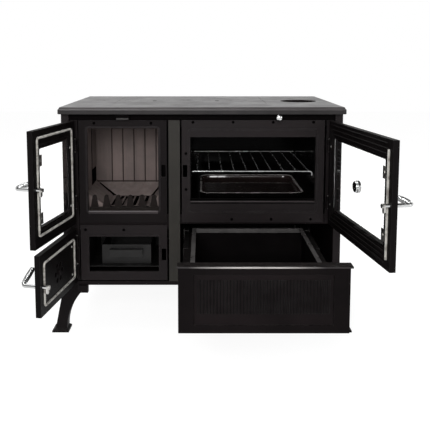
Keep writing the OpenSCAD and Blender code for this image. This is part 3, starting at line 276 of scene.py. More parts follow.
def make_effects():
    """Makes the effects that the finishes share."""
    effect("Cast grain", {"Grain": 900.0, "Pits": 420.0, "Patches": 9.0}, ["Height", "Tone"], build_grain)
    effect("Edge wear", {"Radius": 1.5 * MM, "Amount": 0.5}, ["Mask"], build_edge_wear_and_highlight)
    effect("Settled dust", {"Scale": 60.0, "Amount": 0.3}, ["Mask"], build_dust)
    effect("Strokes", {"Across X": 20.0, "Across Y": 20.0, "Across Z": 900.0}, ["Height", "Tone"],
           build_strokes)


def fill_inputs(node, values):
    """Sets plain inputs by their labels, with _ for a space."""
    for key, value in values.items():
        node.inputs[key.replace("_", " ")].default_value = value


def use(tree, name, **values):
    """Places a shared effect in a material, with its own values."""
    node = put(tree, "ShaderNodeGroup", node_tree=bpy.data.node_groups[name])
    fill_inputs(node, values)
    return node.outputs


# Finishes

DUST = (0.12, 0.11, 0.10, 1.0)
CHALKY_ASH = (0.30, 0.27, 0.25, 1.0)
SOOT_STREAK = (0.055, 0.046, 0.045, 1.0)
# Colour of the painted highlight on the drawer lip.
PAINTED_HIGHLIGHT_GREY = (0.42, 0.40, 0.385, 1.0)
ENAMEL_FLECK = (0.5, 0.5, 0.5, 1.0)
ROPE_GRIME = (0.13, 0.115, 0.10, 1.0)
GLASS_TINT = (0.985, 0.99, 0.985, 1.0)
FLOOR_GREY = (0.86, 0.86, 0.86, 1.0)
WHITE = (1.0, 1.0, 1.0, 1.0)


def new_finish(name):
    material = bpy.data.materials.new(name + "_finish")
    material.use_nodes = True
    tree = material.node_tree
    return tree, tree.nodes["Principled BSDF"]


def feed(tree, shader, colour, rough, height=None, relief=0.0, **plain):
    """Joins a finish to its shader. The relief is how deep height goes, in millimetres."""
    tree.links.new(colour, shader.inputs["Base Color"])
    tree.links.new(rough, shader.inputs["Roughness"])
    fill_inputs(shader, plain)
    if height:
        node = put(tree, "ShaderNodeBump", {"Height": height, "Distance": relief * MM, "Strength": 1.0})
        tree.links.new(node.outputs[0], shader.inputs["Normal"])


def cast_finish(name, colour, rough, grain=900.0, relief=0.25, wear_and_highlight=0.5, dust=0.12, patch=9.0,
                contrast=0.22, specular=0.06, bare_and_highlight=0.045):
    """Painted or bare casting: mottled tone, rubbed edges, dust on ledges and sandy relief."""
    tree, shader = new_finish(name)
    skin = use(tree, "Cast grain", Grain=grain, Pits=grain * 0.45, Patches=patch)
    edge = use(tree, "Edge wear", Radius=1.6 * MM, Amount=wear_and_highlight)["Mask"]
    ash = use(tree, "Settled dust", Scale=70.0, Amount=dust)["Mask"]
    paint = blend(tree, skin["Tone"], tint(colour, 1 - contrast), tint(colour, 1 + contrast))
    # Edges are lighter partly from wear and partly as a painted highlight.
    lighter_edges = blend(tree, edge, paint, tint([channel + bare_and_highlight for channel in colour], 1.0))
    matt = between(tree, skin["Tone"], rough - 0.06, rough + 0.07)
    worn_matt = reckon(tree, "SUBTRACT", matt, times(tree, edge, 0.12))
    feed(tree, shader, blend(tree, ash, lighter_edges, DUST), worn_matt, skin["Height"], relief,
         Specular_IOR_Level=specular)


def painted_highlight_finish(name, colour, middle, full, end):
    """Casting that hands have polished: fully up to full from its middle, and not at all at end."""
    tree, shader = new_finish(name)
    skin = use(tree, "Cast grain", Grain=1200.0, Pits=500.0, Patches=30.0)
    along = put(tree, "ShaderNodeSeparateXYZ", {0: place_in(tree)}).outputs["X"]
    away = reckon(tree, "ABSOLUTE", reckon(tree, "SUBTRACT", along, middle))
    highlight_share = spread(tree, away, full, end, 1.0, 0.0)
    highlight_strength = times(tree, highlight_share, between(tree, skin["Tone"], 0.75, 1.0))
    feed(tree, shader, blend(tree, highlight_strength, tint(colour, 1.6), PAINTED_HIGHLIGHT_GREY),
         between(tree, highlight_strength, 0.5, 0.28), skin["Height"], 0.03, Specular_IOR_Level=0.3)


def liner_finish(name, colour):
    """Scorched liner: brown grey with streaks of soot and a chalky bloom."""
    tree, shader = new_finish(name)
    skin = use(tree, "Cast grain", Grain=650.0, Pits=260.0, Patches=13.0)
    streak = use(tree, "Strokes", Across_X=55.0, Across_Y=55.0, Across_Z=3.0)
    edge = use(tree, "Edge wear", Radius=2.0 * MM, Amount=0.6)["Mask"]
    ash = use(tree, "Settled dust", Scale=45.0, Amount=0.35)["Mask"]
    clay = blend(tree, skin["Tone"], tint(colour, 0.80), tint(colour, 1.18))
    sooty = blend(tree, spread(tree, streak["Height"], 0.46, 0.70, 0.0, 0.40), clay, SOOT_STREAK)
    lighter_edges = blend(tree, edge, sooty, tint(colour, 1.7))
    feed(tree, shader, blend(tree, ash, lighter_edges, CHALKY_ASH), between(tree, skin["Tone"], 0.72, 0.9),
         skin["Height"], 0.5)


def enamel_finish(name, colour, rough=0.12, specular=0.12):
    """Gloss enamel: near black, with a soft ripple and pale flecks."""
    tree, shader = new_finish(name)
    place = place_in(tree)
    cells = put(tree, "ShaderNodeTexVoronoi", {"Vector": place, "Scale": 230.0}).outputs
    fleck = spread(tree, cells["Distance"], 0.10, 0.06)
    chance = put(tree, "ShaderNodeSeparateColor", {0: cells["Color"]}).outputs[0]
    some = spread(tree, chance, 0.80, 0.84, 0.0, 0.22)
    skin = use(tree, "Cast grain", Grain=260.0, Pits=30.0, Patches=6.0)
    base = blend(tree, skin["Tone"], tint(colour, 0.8), tint(colour, 1.3))
    feed(tree, shader, blend(tree, times(tree, fleck, some), base, ENAMEL_FLECK),
         between(tree, skin["Tone"], rough * 0.8, rough * 1.5), noise(tree, place, 34.0, 2.0), 0.12,
         Specular_IOR_Level=specular)


def metal_finish(name, colour, rough, lines=(20.0, 20.0, 900.0), relief=0.02, metallic=1.0):
    """Bare or plated metal: lines of polishing, and smudges that dull it in places."""
    tree, shader = new_finish(name)
    marks = use(tree, "Strokes", Across_X=lines[0], Across_Y=lines[1], Across_Z=lines[2])
    edge = use(tree, "Edge wear", Radius=0.8 * MM, Amount=0.35)["Mask"]
    plate = blend(tree, marks["Tone"], tint(colour, 0.86), tint(colour, 1.08))
    feed(tree, shader, blend(tree, edge, plate, tint(colour, 1.25)),
         between(tree, marks["Tone"], rough * 0.8, rough * 1.5), marks["Height"], relief,
         Metallic=metallic)


def glass_finish(name):
    """Clear ceramic glass with faint wiping marks."""
    tree, shader = new_finish(name)
    marks = use(tree, "Strokes", Across_X=9.0, Across_Y=9.0, Across_Z=14.0)
    feed(tree, shader, blend(tree, marks["Tone"], GLASS_TINT, WHITE),
         spread(tree, marks["Height"], 0.45, 0.75, 0.0, 0.02), Transmission_Weight=1.0, IOR=1.47)


def rope_finish(name, colour):
    """Braided glass rope: pale yarn, darker in the hollows of the braid, with patches of grime."""
    tree, shader = new_finish(name)
    place = place_in(tree)
    hollow = put(tree, "ShaderNodeNewGeometry").outputs["Pointiness"]
    # Painted shade: the hollows of the braid are darker.
    yarn = blend(tree, spread(tree, hollow, 0.44, 0.54), tint(colour, 0.34), tint(colour, 1.05))
    fibre = noise(tree, place, 1500.0, 3.0)
    fluffy = blend(tree, spread(tree, fibre, 0.35, 0.65, 0.0, 0.35), yarn, tint(colour, 0.62))
    dirt = spread(tree, noise(tree, place, 60.0, 5.0), 0.46, 0.66, 0.0, 0.85)
    feed(tree, shader, blend(tree, dirt, fluffy, ROPE_GRIME), spread(tree, fibre, 0.3, 0.7, 0.85, 0.98),
         fibre, 0.3, Sheen_Weight=0.3)


def paint_finish(name, colour, rough):
    """Smooth printed or sprayed paint with slight fading."""
    tree, shader = new_finish(name)
    fade = use(tree, "Cast grain", Grain=1400.0, Pits=800.0, Patches=60.0)
    feed(tree, shader, blend(tree, fade["Tone"], tint(colour, 0.86), tint(colour, 1.08)),
         between(tree, fade["Tone"], rough, rough + 0.1), fade["Height"], 0.02)


def make_castings(body, pillar, top, liner):
    """The finishes of cast and painted iron, each a level of one of four colours."""
    smooth = {"grain": 1200.0, "wear_and_highlight": 0.5, "dust": 0.05}
    drawer = {"specular": 0.035, "patch": 5.0, "contrast": 0.35}
    hob = {"grain": 1500.0, "relief": 0.06, "dust": 0.0, "patch": 14.0}
    # The edge amounts in these finishes lighten edges partly as wear and partly as a painted highlight.
    for name, colour, level, rough, rest in (
        ("cast_body", body, 1.0, 0.50, {}),
        ("cast_side", body, 1.6, 0.52, {"specular": 0.11}),
        ("cast_door", body, 0.55, 0.48, {"specular": 0.05}),
        ("cast_drawer", body, 0.80, 0.50, drawer),
        # Beads round the openings: the body paint made lighter as a painted highlight.
        ("seat_bead", body, 1.7, 0.45, {"wear_and_highlight": 0.7, "specular": 0.10}),
        ("drawer_field", body, 1.25, 0.50, drawer),
        # Sill lips: the body paint five times as light, as a painted highlight, with some edge wear.
        ("rubbed_lip", body, 5.0, 0.36,
         {**smooth, "relief": 0.06, "wear_and_highlight": 0.6, "specular": 0.30, "bare_and_highlight": 0.08}),
        # Grooves of the liner: the liner colour darkened as painted shade.
        ("groove", liner, 0.22, 0.8, {"wear_and_highlight": 0.0, "dust": 0.0}),
        ("screw_black", body, 0.12, 0.8, {"relief": 0.03, "wear_and_highlight": 0.0, "dust": 0.0, "specular": 0.02}),
        ("cast_frame", pillar, 1.0, 0.5, {"specular": 0.16}),
        ("cast_raw", body, 1.25, 0.72, {"grain": 600.0, "relief": 0.5, "wear_and_highlight": 0.7, "dust": 0.3}),
        # A dark paint laid on faces and gaps as painted shade.
        ("soot", body, 0.35, 0.85,
         {"grain": 500.0, "relief": 0.4, "wear_and_highlight": 0.1, "dust": 0.02, "specular": 0.04}),
        ("drawer_black", body, 0.4, 0.45, {**smooth, "relief": 0.03, "specular": 0.05}),
        ("cast_top", top, 1.0, 0.34,
         {**hob, "wear_and_highlight": 0.4, "contrast": 0.16, "specular": 0.3, "bare_and_highlight": 0.12}),
        ("fascia", top, 0.42, 0.42, {**hob, "specular": 0.12, "bare_and_highlight": 0.06}),
        ("guard", liner, 0.085, 0.7,
         {"grain": 600.0, "relief": 0.5, "wear_and_highlight": 0.8, "dust": 0.16, "bare_and_highlight": 0.06}),
    ):
        cast_finish(name, scaled(colour, level), rough, **rest)
    # The drawer lip, with a painted highlight across its middle.
    painted_highlight_finish("drawer_lip", body, middle=0.16, full=0.075, end=0.20)


def make_finishes(colours):
    """Makes every finish from the colours that a user may change."""
    make_effects()
    make_castings(colours.cast_body, colours.cast_frame, colours.cast_top, colours.liner)
    liner_finish("liner", colours.liner)
    enamel_finish("enamel", scaled(colours.enamel, 0.6), specular=0.025)
    warm_levels = (8.0, 6.0, 5.6)
    enamel_finish("tray_enamel", [c * level for c, level in zip(colours.enamel, warm_levels)], 0.06, 0.6)
    across = (900.0, 6.0, 900.0)
    # A painted highlight for the tray's rim: a bright metal-like colour.
    metal_finish("tray_rim", scaled(colours.sheet, 48), 0.22, (9.0, 9.0, 60.0), metallic=0.5)
    metal_finish("sheet", colours.sheet, 0.42, metallic=0.6)
    # Lighter sheet for the drawer box's top edges: wear and a painted highlight.
    metal_finish("bare_sheet", scaled(colours.sheet, 11.0), 0.30, across, metallic=0.6)
    metal_finish("rail_steel", scaled(colours.sheet, 3.0), 0.38, across)
    metal_finish("chrome", colours.chrome, 0.10, (60.0, 60.0, 60.0), 0.008)
    metal_finish("rack_wire", scaled(colours.chrome, 0.95), 0.2, (60.0, 9.0, 60.0), 0.01, metallic=0.6)
    metal_finish("steel", colours.steel, 0.30, (120.0, 120.0, 120.0))
    glass_finish("glass")
    rope_finish("rope", colours.rope)
    paint_finish("needle", (0.55, 0.03, 0.02), 0.3)
    paint_finish("dial_white", (0.78, 0.77, 0.73), 0.35)
    paint_finish("dial_black", (0.015, 0.015, 0.016), 0.4)


# Shapes

def extent(points):
    """Lowest and highest corner of some points."""
    return tuple(Vector([end(p[i] for p in points) for i in range(3)]) for end in (min, max))


def reach(node, matrix=Matrix()):
    """Lowest and highest corner of a node in the frame of a matrix."""
    back = matrix.inverted()
    return extent([back @ v.co for v in NODES[node].data.vertices])


def node_mesh(node):
    """A node's mesh in the making, with the corners of its faces joined."""
    bm = bmesh.new()
    bm.from_mesh(NODES[node].data)
    bmesh.ops.remove_doubles(bm, verts=bm.verts, dist=1e-6)
    return bm


def parts_of(node):
    """Lowest and highest corner of each separate part of a node."""
    bm = node_mesh(node)
    seen, found = set(), []
    for start in bm.verts:
        if start in seen:
            continue
        seen.add(start)
        queue, points = [start], []
        while queue:
            vert = queue.pop()
            points.append(vert.co.copy())
            for edge in vert.link_edges:
                other = edge.other_vert(vert)
                if other not in seen:
                    seen.add(other)
                    queue.append(other)
        found.append(extent(points))
    bm.free()
    return found


def finish_piece(name, bm, finish, body, stands_for=(), slot=None, edge=0.0, steps=2, limit=32.0,
                 smooth=35.0):
    """Turns a mesh in the making into a piece that rides on a body."""
    bmesh.ops.recalc_face_normals(bm, faces=bm.faces)
    mesh = bpy.data.meshes.new(name)
    bm.to_mesh(mesh)
    bm.free()
    mesh.polygons.foreach_set("use_smooth", [True] * len(mesh.polygons))
    mesh.materials.append(bpy.data.materials[finish + "_finish"])
    piece = bpy.data.objects.new(name, mesh)
    bpy.context.scene.collection.objects.link(piece)
    if edge > 0:
        rounding = piece.modifiers.new("Edges", "BEVEL")
        rounding.width = edge
        rounding.segments = steps
        rounding.limit_method = "ANGLE"
        rounding.angle_limit = math.radians(limit)
    else:
        mesh.set_sharp_from_angle(angle=math.radians(smooth))
    even = piece.modifiers.new("Even shading", "WEIGHTED_NORMAL")
    even.keep_sharp = True
    even.weight = 100
    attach(piece, body)
    if stands_for:
        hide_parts(*stands_for)
    return piece


def coat(piece, finish, where):
    """Gives a second finish to the faces that where() picks by their middle and normal."""
    mesh = piece.data
    mesh.materials.append(bpy.data.materials[finish + "_finish"])
    for face in mesh.polygons:
        if where(face.center, face.normal):
            face.material_index = len(mesh.materials) - 1


def body_of(node):
    return NODES[node]["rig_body"]


def stand_in(name, node, finish, slot, bm, **look):
    """Stands a new form in a node's place, on the node's body."""
    return finish_piece(name, bm, finish, body_of(node), (node,), slot, **look)


def dress(node, finish, edge, slot, steps=2, limit=32.0):
    """Stands a node's own form in its place, with whole flat faces, rounded edges and a finish."""
    bm = node_mesh(node)
    bmesh.ops.dissolve_limit(bm, angle_limit=math.radians(0.6), verts=bm.verts, edges=bm.edges,
                             delimit={"NORMAL"})
    return stand_in(node + "_piece", node, finish, slot, bm, edge=edge, steps=steps, limit=limit)


def placed(place, degrees=0.0, axis="X"):
    """A frame moved to a place and turned about one of its axes."""
    return Matrix.Translation(place) @ Matrix.Rotation(math.radians(degrees), 4, axis)


def arc(start, end, step):
    """Cosine and sine at even steps from one angle to another, in degrees."""
    return [(math.cos(math.radians(a)), math.sin(math.radians(a))) for a in range(start, end + 1, step)]


def loft(bm, loops, closed=False):
    """Skins loops of points that have the same count, with caps unless they close on themselves."""
    rings = [[bm.verts.new(p) for p in loop] for loop in loops]
    pairs = list(zip(rings, rings[1:])) + ([(rings[-1], rings[0])] if closed else [])
    for a, b in pairs:
        for i in range(len(a)):
            j = (i + 1) % len(a)
            bm.faces.new((a[i], a[j], b[j], b[i]))
    if not closed:
        bm.faces.new(rings[0][::-1])
        bm.faces.new(rings[-1])


def round_rect(x0, x1, y0, y1, r, z, turn=8, matrix=Matrix()):
    """Points round a rectangle with round corners, level with z."""
    corners = [(x1 - r, y1 - r, 0), (x0 + r, y1 - r, 90), (x0 + r, y0 + r, 180), (x1 - r, y0 + r, 270)]
    points = []
    for cx, cy, start in corners:
        for i in range(turn + 1):
            a = math.radians(start + 90 * i / turn)
            points.append(matrix @ Vector((cx + r * math.cos(a), cy + r * math.sin(a), z)))
    return points


def inset_rect(low, high, inset, r, z, turn=8):
    """A round-cornered rectangle that keeps an inset from two corners of a box."""
    return round_rect(low.x + inset, high.x - inset, low.y + inset, high.y - inset, r, z, turn)


def lathe(bm, profile, matrix, count=48):
    """Turns a profile of radius and height round the matrix's z axis."""
    rings = []
    for r, h in profile:
        if r < 1e-7:
            rings.append([bm.verts.new(matrix @ Vector((0, 0, h)))])
        else:
            angles = [2 * math.pi * k / count for k in range(count)]
            rings.append([bm.verts.new(matrix @ Vector((r * math.cos(a), r * math.sin(a), h)))
                          for a in angles])
    for a, b in zip(rings, rings[1:]):
        for i in range(count):
            j = (i + 1) % count
            corners = list(dict.fromkeys([a[i % len(a)], a[j % len(a)], b[j % len(b)], b[i % len(b)]]))
            if len(corners) > 2:
                bm.faces.new(corners)
    for ring in (rings[0], rings[-1]):
        if len(ring) > 2:
            bm.faces.new(ring)


def tube(bm, path, radius, sides=16, closed=False):
    """A round bar along a path. radius is a number, or a function of the step and the angle."""
    points = [Vector(p) for p in path]
    count = len(points)
    size = radius if callable(radius) else lambda i, a: radius
    ahead = []
    for i in range(count):
        before = points[i - 1] if i or closed else points[i]
        after = points[(i + 1) % count] if i < count - 1 or closed else points[i]
        ahead.append((after - before).normalized())
    side = ahead[0].orthogonal().normalized()
    sides_at = []
    for i in range(count):
        side = (side - ahead[i] * side.dot(ahead[i])).normalized()
        sides_at.append(side.copy())
    drift = 0.0
    if closed:
        back = sides_at[-1] - ahead[0] * sides_at[-1].dot(ahead[0])
        drift = math.atan2(back.cross(sides_at[0]).dot(ahead[0]), back.dot(sides_at[0]))
    loops = []
    for i in range(count):
        other = ahead[i].cross(sides_at[i])
        loop = []
        for k in range(sides):
            a = 2 * math.pi * k / sides + drift * i / count
            loop.append(points[i] + (sides_at[i] * math.cos(a) + other * math.sin(a)) * size(i, a))
        loops.append(loop)
    loft(bm, loops, closed)


def moulding(bm, rect, profile, matrix, three_sides=False):
    """A mitred moulding round a rectangle, or round all of it but the side of high x.

    The profile's points are outward and depth.
    """
    x0, x1, z0, z1 = rect
    corners = [(x1, z0, 1, -1), (x0, z0, -1, -1), (x0, z1, -1, 1), (x1, z1, 1, 1)]
    if three_sides:
        corners[0], corners[3] = (x1, z0, 0, -1), (x1, z1, 0, 1)
    loops = [[matrix @ Vector((x + sx * out, y, z + sz * out)) for out, y in profile]
             for x, z, sx, sz in corners]
    loft(bm, loops, closed=not three_sides)


def bead(width, proud, y, front=-1):
    """Half round profile that stands proud of a face at y, towards the front or the back."""
    root = y - front * 0.6 * MM
    curve = [(width / 2 * c, y + front * proud * s) for c, s in arc(0, 180, 20)]
    return [(width / 2, root)] + curve + [(-width / 2, root)]


def box(bm, low, high, matrix=Matrix()):
    """Adds a box between two corners."""
    corners = [matrix @ Vector((x, y, z)) for z in (low[2], high[2])
               for x, y in ((low[0], low[1]), (high[0], low[1]), (high[0], high[1]), (low[0], high[1]))]
    loft(bm, [corners[:4], corners[4:]])


def new_box(low, high):
    bm = bmesh.new()
    box(bm, low, high)
    return bm


def carve(piece, cutters):
    """Takes the cutters' forms out of a piece, for good."""
    for bm in cutters:
        bmesh.ops.recalc_face_normals(bm, faces=bm.faces)
        mesh = bpy.data.meshes.new("cutter")
        bm.to_mesh(mesh)
        bm.free()
        tool = bpy.data.objects.new("cutter", mesh)
        bpy.context.scene.collection.objects.link(tool)
        cut = piece.modifiers.new("Cut", "BOOLEAN")
        cut.operation = "DIFFERENCE"
        cut.solver = "EXACT"
        cut.object = tool
        piece.modifiers.move(len(piece.modifiers) - 1, 0)
        shape = bpy.data.meshes.new_from_object(piece.evaluated_get(only(piece, cut)))
        piece.modifiers.remove(cut)
        for other in piece.modifiers:
            other.show_viewport = True
        piece.data = shape
        bpy.data.objects.remove(tool)


def only(piece, kept):
    """The scene's state with just one of the piece's modifiers at work."""
    for other in piece.modifiers:
        other.show_viewport = other == kept
    return bpy.context.evaluated_depsgraph_get()


def screw_head(bm, matrix, r, h):
    """A domed head with a hexagon socket; the matrix's z axis points out of the face."""
    dome = [(r, -0.4 * MM), (r, 0.12 * h), (0.94 * r, 0.45 * h), (0.76 * r, 0.8 * h), (0.52 * r, h),
            (0.44 * r, h), (0.40 * r, 0.35 * h), (0.0, 0.30 * h)]
    lathe(bm, dome, matrix, 24)


def door_frame(joint, mirrored):
    """A door's own frame at rest: x from the hinge axis to the free edge, y towards the stove."""
    x, y, _ = JOINTS[joint]["pos_m"]
    turn = math.radians(-JOINTS[joint]["range_deg"][0])
    flip = -1 if mirrored else 1
    return (Matrix.Translation((x, y, 0)) @ Matrix.Rotation(-flip * turn, 4, "Z")
            @ Matrix.Diagonal((flip, 1, 1, 1)))


# Places and sizes that follow the solids

DOORS = {
    "firebox": door_frame("firebox_door_hinge", False),
    "ash": door_frame("ash_door_hinge", False),
    "oven": door_frame("oven_door_hinge", True),
}
DOOR_LEAVES = {"firebox": "firebox_door_frame", "ash": "ash_door_plate", "oven": "oven_door_frame"}
# Middles of the hinges' bolts: millimetres from the hinge axis, and height
DOOR_BOLTS = {
    "firebox": [(51, 684), (51, 479)],
    "ash": [(58, 334), (58, 234)],
    "oven": [(31.5, 684), (31.5, 479)],
}
# Outer and inner face of a door in its own frame
DOOR_FACE = -15 * MM
DOOR_INSIDE = 3 * MM
# How far a frame's bead stands out, and the oven opening's sides and sill
BEAD_OUT = 2.5 * MM
OVEN_MOUTH = (-42 * MM, 405 * MM)
OVEN_SILL = 481 * MM
# The grip's axis, its bend and collars, and its coil: 20 curls, two turned ends and the wire
GRIP_Y = -63 * MM
GRIP_BEND = 12 * MM
COLLAR = 3 * MM
COIL_LENGTH = 20 * 2.8 * MM + 2 * 2.5 * MM + 2 * 2.2 * MM


# Pieces

def make_top_plate(sizes):
    """The moulded top: an ogee edge round a flat casting with its openings."""
    low, high = reach("top_plate")
    ogee = [(0.6, 0.0), (0.0, 1.5), (0.0, 14.2), (0.4, 15.8), (1.5, 17.0), (3.0, 17.8), (3.9, 18.6),
            (4.5, 20.6), (5.6, 22.6), (7.4, 24.1), (9.4, 24.8), (11.5, 25.0)]
    ogee_h = 25 * MM
    rise = (high.z - low.z) / ogee_h
    bm = bmesh.new()
    loft(bm, [inset_rect(low, high, i * MM, max(sizes.ogee_round - i * MM, 2 * MM), low.z + h * rise * MM)
              for i, h in ogee])
    piece = stand_in("top_plate_casting", "top_plate", "cast_top", "cast_top", bm, edge=0.8 * MM,
                     limit=62.0)
    seat_low, seat_high = reach("cooking_plate")
    gap, ledge = 0.3 * MM, 12 * MM
    seat, well = bmesh.new(), bmesh.new()
    loft(seat, [inset_rect(seat_low, seat_high, -gap, 12 * MM, z) for z in (seat_low.z, high.z + 10 * MM)])
    loft(well, [inset_rect(seat_low, seat_high, ledge - gap, 8 * MM, z)
                for z in (low.z + 2 * MM, high.z + 5 * MM)])
    margin = 21 * MM
    under = new_box((low.x + margin, low.y + 36 * MM, low.z - 5 * MM),
                    (high.x - margin, high.y - 34 * MM, high.z - 12 * MM))
    collar_low, collar_high = reach("flue_collar")
    mouth = (collar_low + collar_high) / 2
    flue_r, sight_r = 71.3 * MM, 4 * MM
    holes = []
    for x, y, r in ((mouth.x, mouth.y, flue_r), (low.x + 114 * MM, mouth.y + 33 * MM, sight_r)):
        hole = bmesh.new()
        lathe(hole, [(r, low.z - 10 * MM), (r, high.z + 10 * MM)], placed((x, y, 0)), 72)
        holes.append(hole)
    carve(piece, [seat, well, under, *holes])
    piece.data.polygons.foreach_set("use_smooth", [True] * len(piece.data.polygons))
    coat(piece, "fascia", lambda middle, normal: middle.z < high.z - 10 * MM)


def make_cooking_plates():
    """The inset plate, its two hot plates and their lids, and the flue collar."""
    dress("cooking_plate", "cast_top", 1.5 * MM, "cast_top", limit=50.0)
    for side in ("left", "right"):
        dress("hotplate_ring_" + side, "cast_top", 1.8 * MM, "cast_top", limit=50.0)
        dress("hotplate_lid_" + side, "cast_top", 1.6 * MM, "cast_top", limit=50.0)
    dress("flue_collar", "cast_raw", 0.8 * MM, "cast_raw")


def make_body(sizes):
    """Panels, rails, wall, floor plates and legs, and the mouldings on the outer panels."""
    edge = sizes.cast_edge
    for node, finish, width, slot in (
        ("side_panel_left", "cast_side", 2 * edge, "cast_body"),
        ("side_panel_right", "cast_side", 2 * edge, "cast_body"),
        ("back_panel", "cast_body", edge, "cast_body"),
        ("bottom_panel", "cast_body", edge, "cast_body"),
        # The rail in the recess under the top takes the dark paint as painted shade.
        ("upper_front_rail", "soot", 0.8 * edge, "cast_raw"),
        ("centre_wall", "cast_frame", 1.6 * edge, "cast_frame"),
        ("hearth_plate", "cast_raw", 0.8 * edge, "cast_raw"),
        ("legs", "cast_body", 2.2 * edge, "cast_body"),
        ("smoke_baffle", "cast_raw", 0.6 * edge, "cast_raw"),
    ):
        dress(node, finish, width, slot)
    low, high = reach("side_panel_left")
    make_border("side_panel_left", "cast_side", placed((low.x, 0, 0), -90, "Z"), (-high.y, -low.y))
    low, high = reach("side_panel_right")
    make_border("side_panel_right", "cast_side", placed((high.x, 0, 0), 90, "Z"), (low.y, high.y))
    low, high = reach("back_panel")
    make_border("back_panel", "cast_body", placed((0, high.y, 0), 180, "Z"), (-high.x, -low.x), True)


def make_border(node, finish, matrix, span, screwed=False):
    """A raised moulding round the outside of a panel, and its screws."""
    low, high = reach(node)
    start, end = span
    inset, screw_in, screw_up = 42 * MM, 16 * MM, 20 * MM
    bm = bmesh.new()
    moulding(bm, (start + inset, end - inset, low.z + inset, high.z - inset),
             bead(9 * MM, 2.4 * MM, 0.0), matrix)
    if screwed:
        for x in (start + screw_in, (start + end) / 2, end - screw_in):
            for z in (low.z + screw_up, (low.z + high.z) / 2, high.z - screw_up):
                screw_head(bm, matrix @ placed((x, 0, z), 90), 4.5 * MM, 2.6 * MM)
    finish_piece(node + "_border", bm, finish, "stove_body", (), "cast_body", smooth=50.0)


def make_front_frames():
    """The three cast frames, with the beads that the ropes meet and their rubbed sills."""
    face = reach("oven_frame")[0].y + BEAD_OUT
    for node, finish in (("firebox_frame", "cast_body"), ("ash_frame", "cast_side"),
                         ("oven_frame", "cast_side")):
        piece = dress(node, finish, 0.9 * MM, "cast_body")
        if node == "oven_frame":
            carve(piece, [new_box((OVEN_MOUTH[0], face - 5 * MM, OVEN_SILL - 10.5 * MM),
                                  (OVEN_MOUTH[1], face + 2.5 * MM, OVEN_SILL - 6.5 * MM))])
            # The groove under the oven's sill is painted as shade.
            coat(piece, "soot", lambda middle, normal: (
                face + 0.2 * MM < middle.y < face + 3 * MM
                and OVEN_SILL - 11 * MM < middle.z < OVEN_SILL - 6 * MM))
        # The proud beads take the lighter paint, a painted highlight.
        coat(piece, "seat_bead", lambda middle, normal: middle.y < face - 0.2 * MM)
    low, high = reach("log_guard")
    make_sill("firebox_sill_lip", low.x, high.x, face, low.z + 10 * MM, 6.2 * MM, BEAD_OUT + 0.1 * MM)
    make_sill("oven_sill_lip", OVEN_MOUTH[0] + 1 * MM, OVEN_MOUTH[1] - 1 * MM, face,
              OVEN_SILL - 2.4 * MM, 2.2 * MM, 1.2 * MM)


def make_sill(name, x0, x1, face, level, half, proud):
    """A half round edge along the bottom of an opening."""
    root = face + 0.6 * MM
    curve = [(face - proud * s, level - half * c) for c, s in arc(0, 180, 20)]
    section = [(root, level - half), *curve, (root, level + half)]
    bm = bmesh.new()
    loft(bm, [[Vector((x, y, z)) for y, z in section] for x in (x0, x1)])
    finish_piece(name, bm, "rubbed_lip", "stove_body", (), "cast_body", smooth=50.0)


def make_hinges():
    """Hinge plates, pins with round ends, and the screws of the frames."""
    dress("hinge_plates", "cast_body", 0.7 * MM, "cast_body")
    bm = bmesh.new()
    for low, high in parts_of("hinge_pins"):
        r = (high.x - low.x) / 2
        mid = (low + high) / 2
        profile = [(0.0, low.z), (0.6 * r, low.z), (r, low.z + 0.5 * r), (r, high.z - 2.4 * r),
                   (0.7 * r, high.z - 2.0 * r), (1.25 * r, high.z - 1.5 * r), (1.4 * r, high.z - 0.9 * r),
                   (1.1 * r, high.z - 0.3 * r), (0.5 * r, high.z), (0.0, high.z)]
        lathe(bm, profile, placed((mid.x, mid.y, 0)), 20)
    stand_in("hinge_pin_set", "hinge_pins", "steel", "steel", bm)
    bm = bmesh.new()
    head_h = 2.5 * MM
    for low, high in parts_of("frame_screws"):
        mid = (low + high) / 2
        screw_head(bm, placed((mid.x, low.y + head_h, mid.z), 90), (high.x - low.x) / 2, head_h)
    stand_in("frame_screw_set", "frame_screws", "screw_black", "steel", bm)


def make_firebox():
    """Liner plates, cheeks, grate and the fingered log guard."""
    low, high = reach("firebox_liners")
    left, right, back = low.x + 30 * MM, high.x - 30 * MM, high.y - 29.7 * MM

    def hidden(middle, normal):
        on_side = abs(normal.x) > 0.9 and min(abs(middle.x - left), abs(middle.x - right)) < 0.5 * MM
        on_back = normal.y < -0.9 and abs(middle.y - back) < 0.5 * MM
        return not (on_side or on_back)

    def in_groove(middle, normal):
        return left < middle.x < right and back + 0.2 * MM < middle.y < back + 4 * MM and normal.y < 0.5

    # All faces of the liners but their inner faces are painted as shade, and the back plate's grooves
    # darker still as shade.
    liners = dress("firebox_liners", "liner", 0.8 * MM, "liner")
    coat(liners, "soot", hidden)
    coat(liners, "groove", in_groove)
    # A dark block fills the notch at the back left corner, as painted shade of the hollow there.
    clamp = new_box((left - 13.5 * MM, back - 12 * MM, low.z + 103 * MM),
                    (left - 0.5 * MM, back - 0.3 * MM, low.z + 162 * MM))
    finish_piece("liner_clamp", clamp, "soot", "stove_body", (), "cast_raw", 1.5 * MM)
    make_cheeks(left, right, back, low.z)
    # The grate's faces that don't look up are painted as shade.
    coat(dress("grate", "liner", 1.8 * MM, "cast_raw", steps=3), "soot",
         lambda middle, normal: normal.z < 0.5)
    guard = dress("log_guard", "guard", 2.6 * MM, "cast_raw", steps=3)
    root = reach("log_guard")[0].z + 24 * MM
    tooth = 0.80
    for vert in guard.data.vertices:
        if vert.co.z > root:
            vert.co.z = root + (vert.co.z - root) * tooth


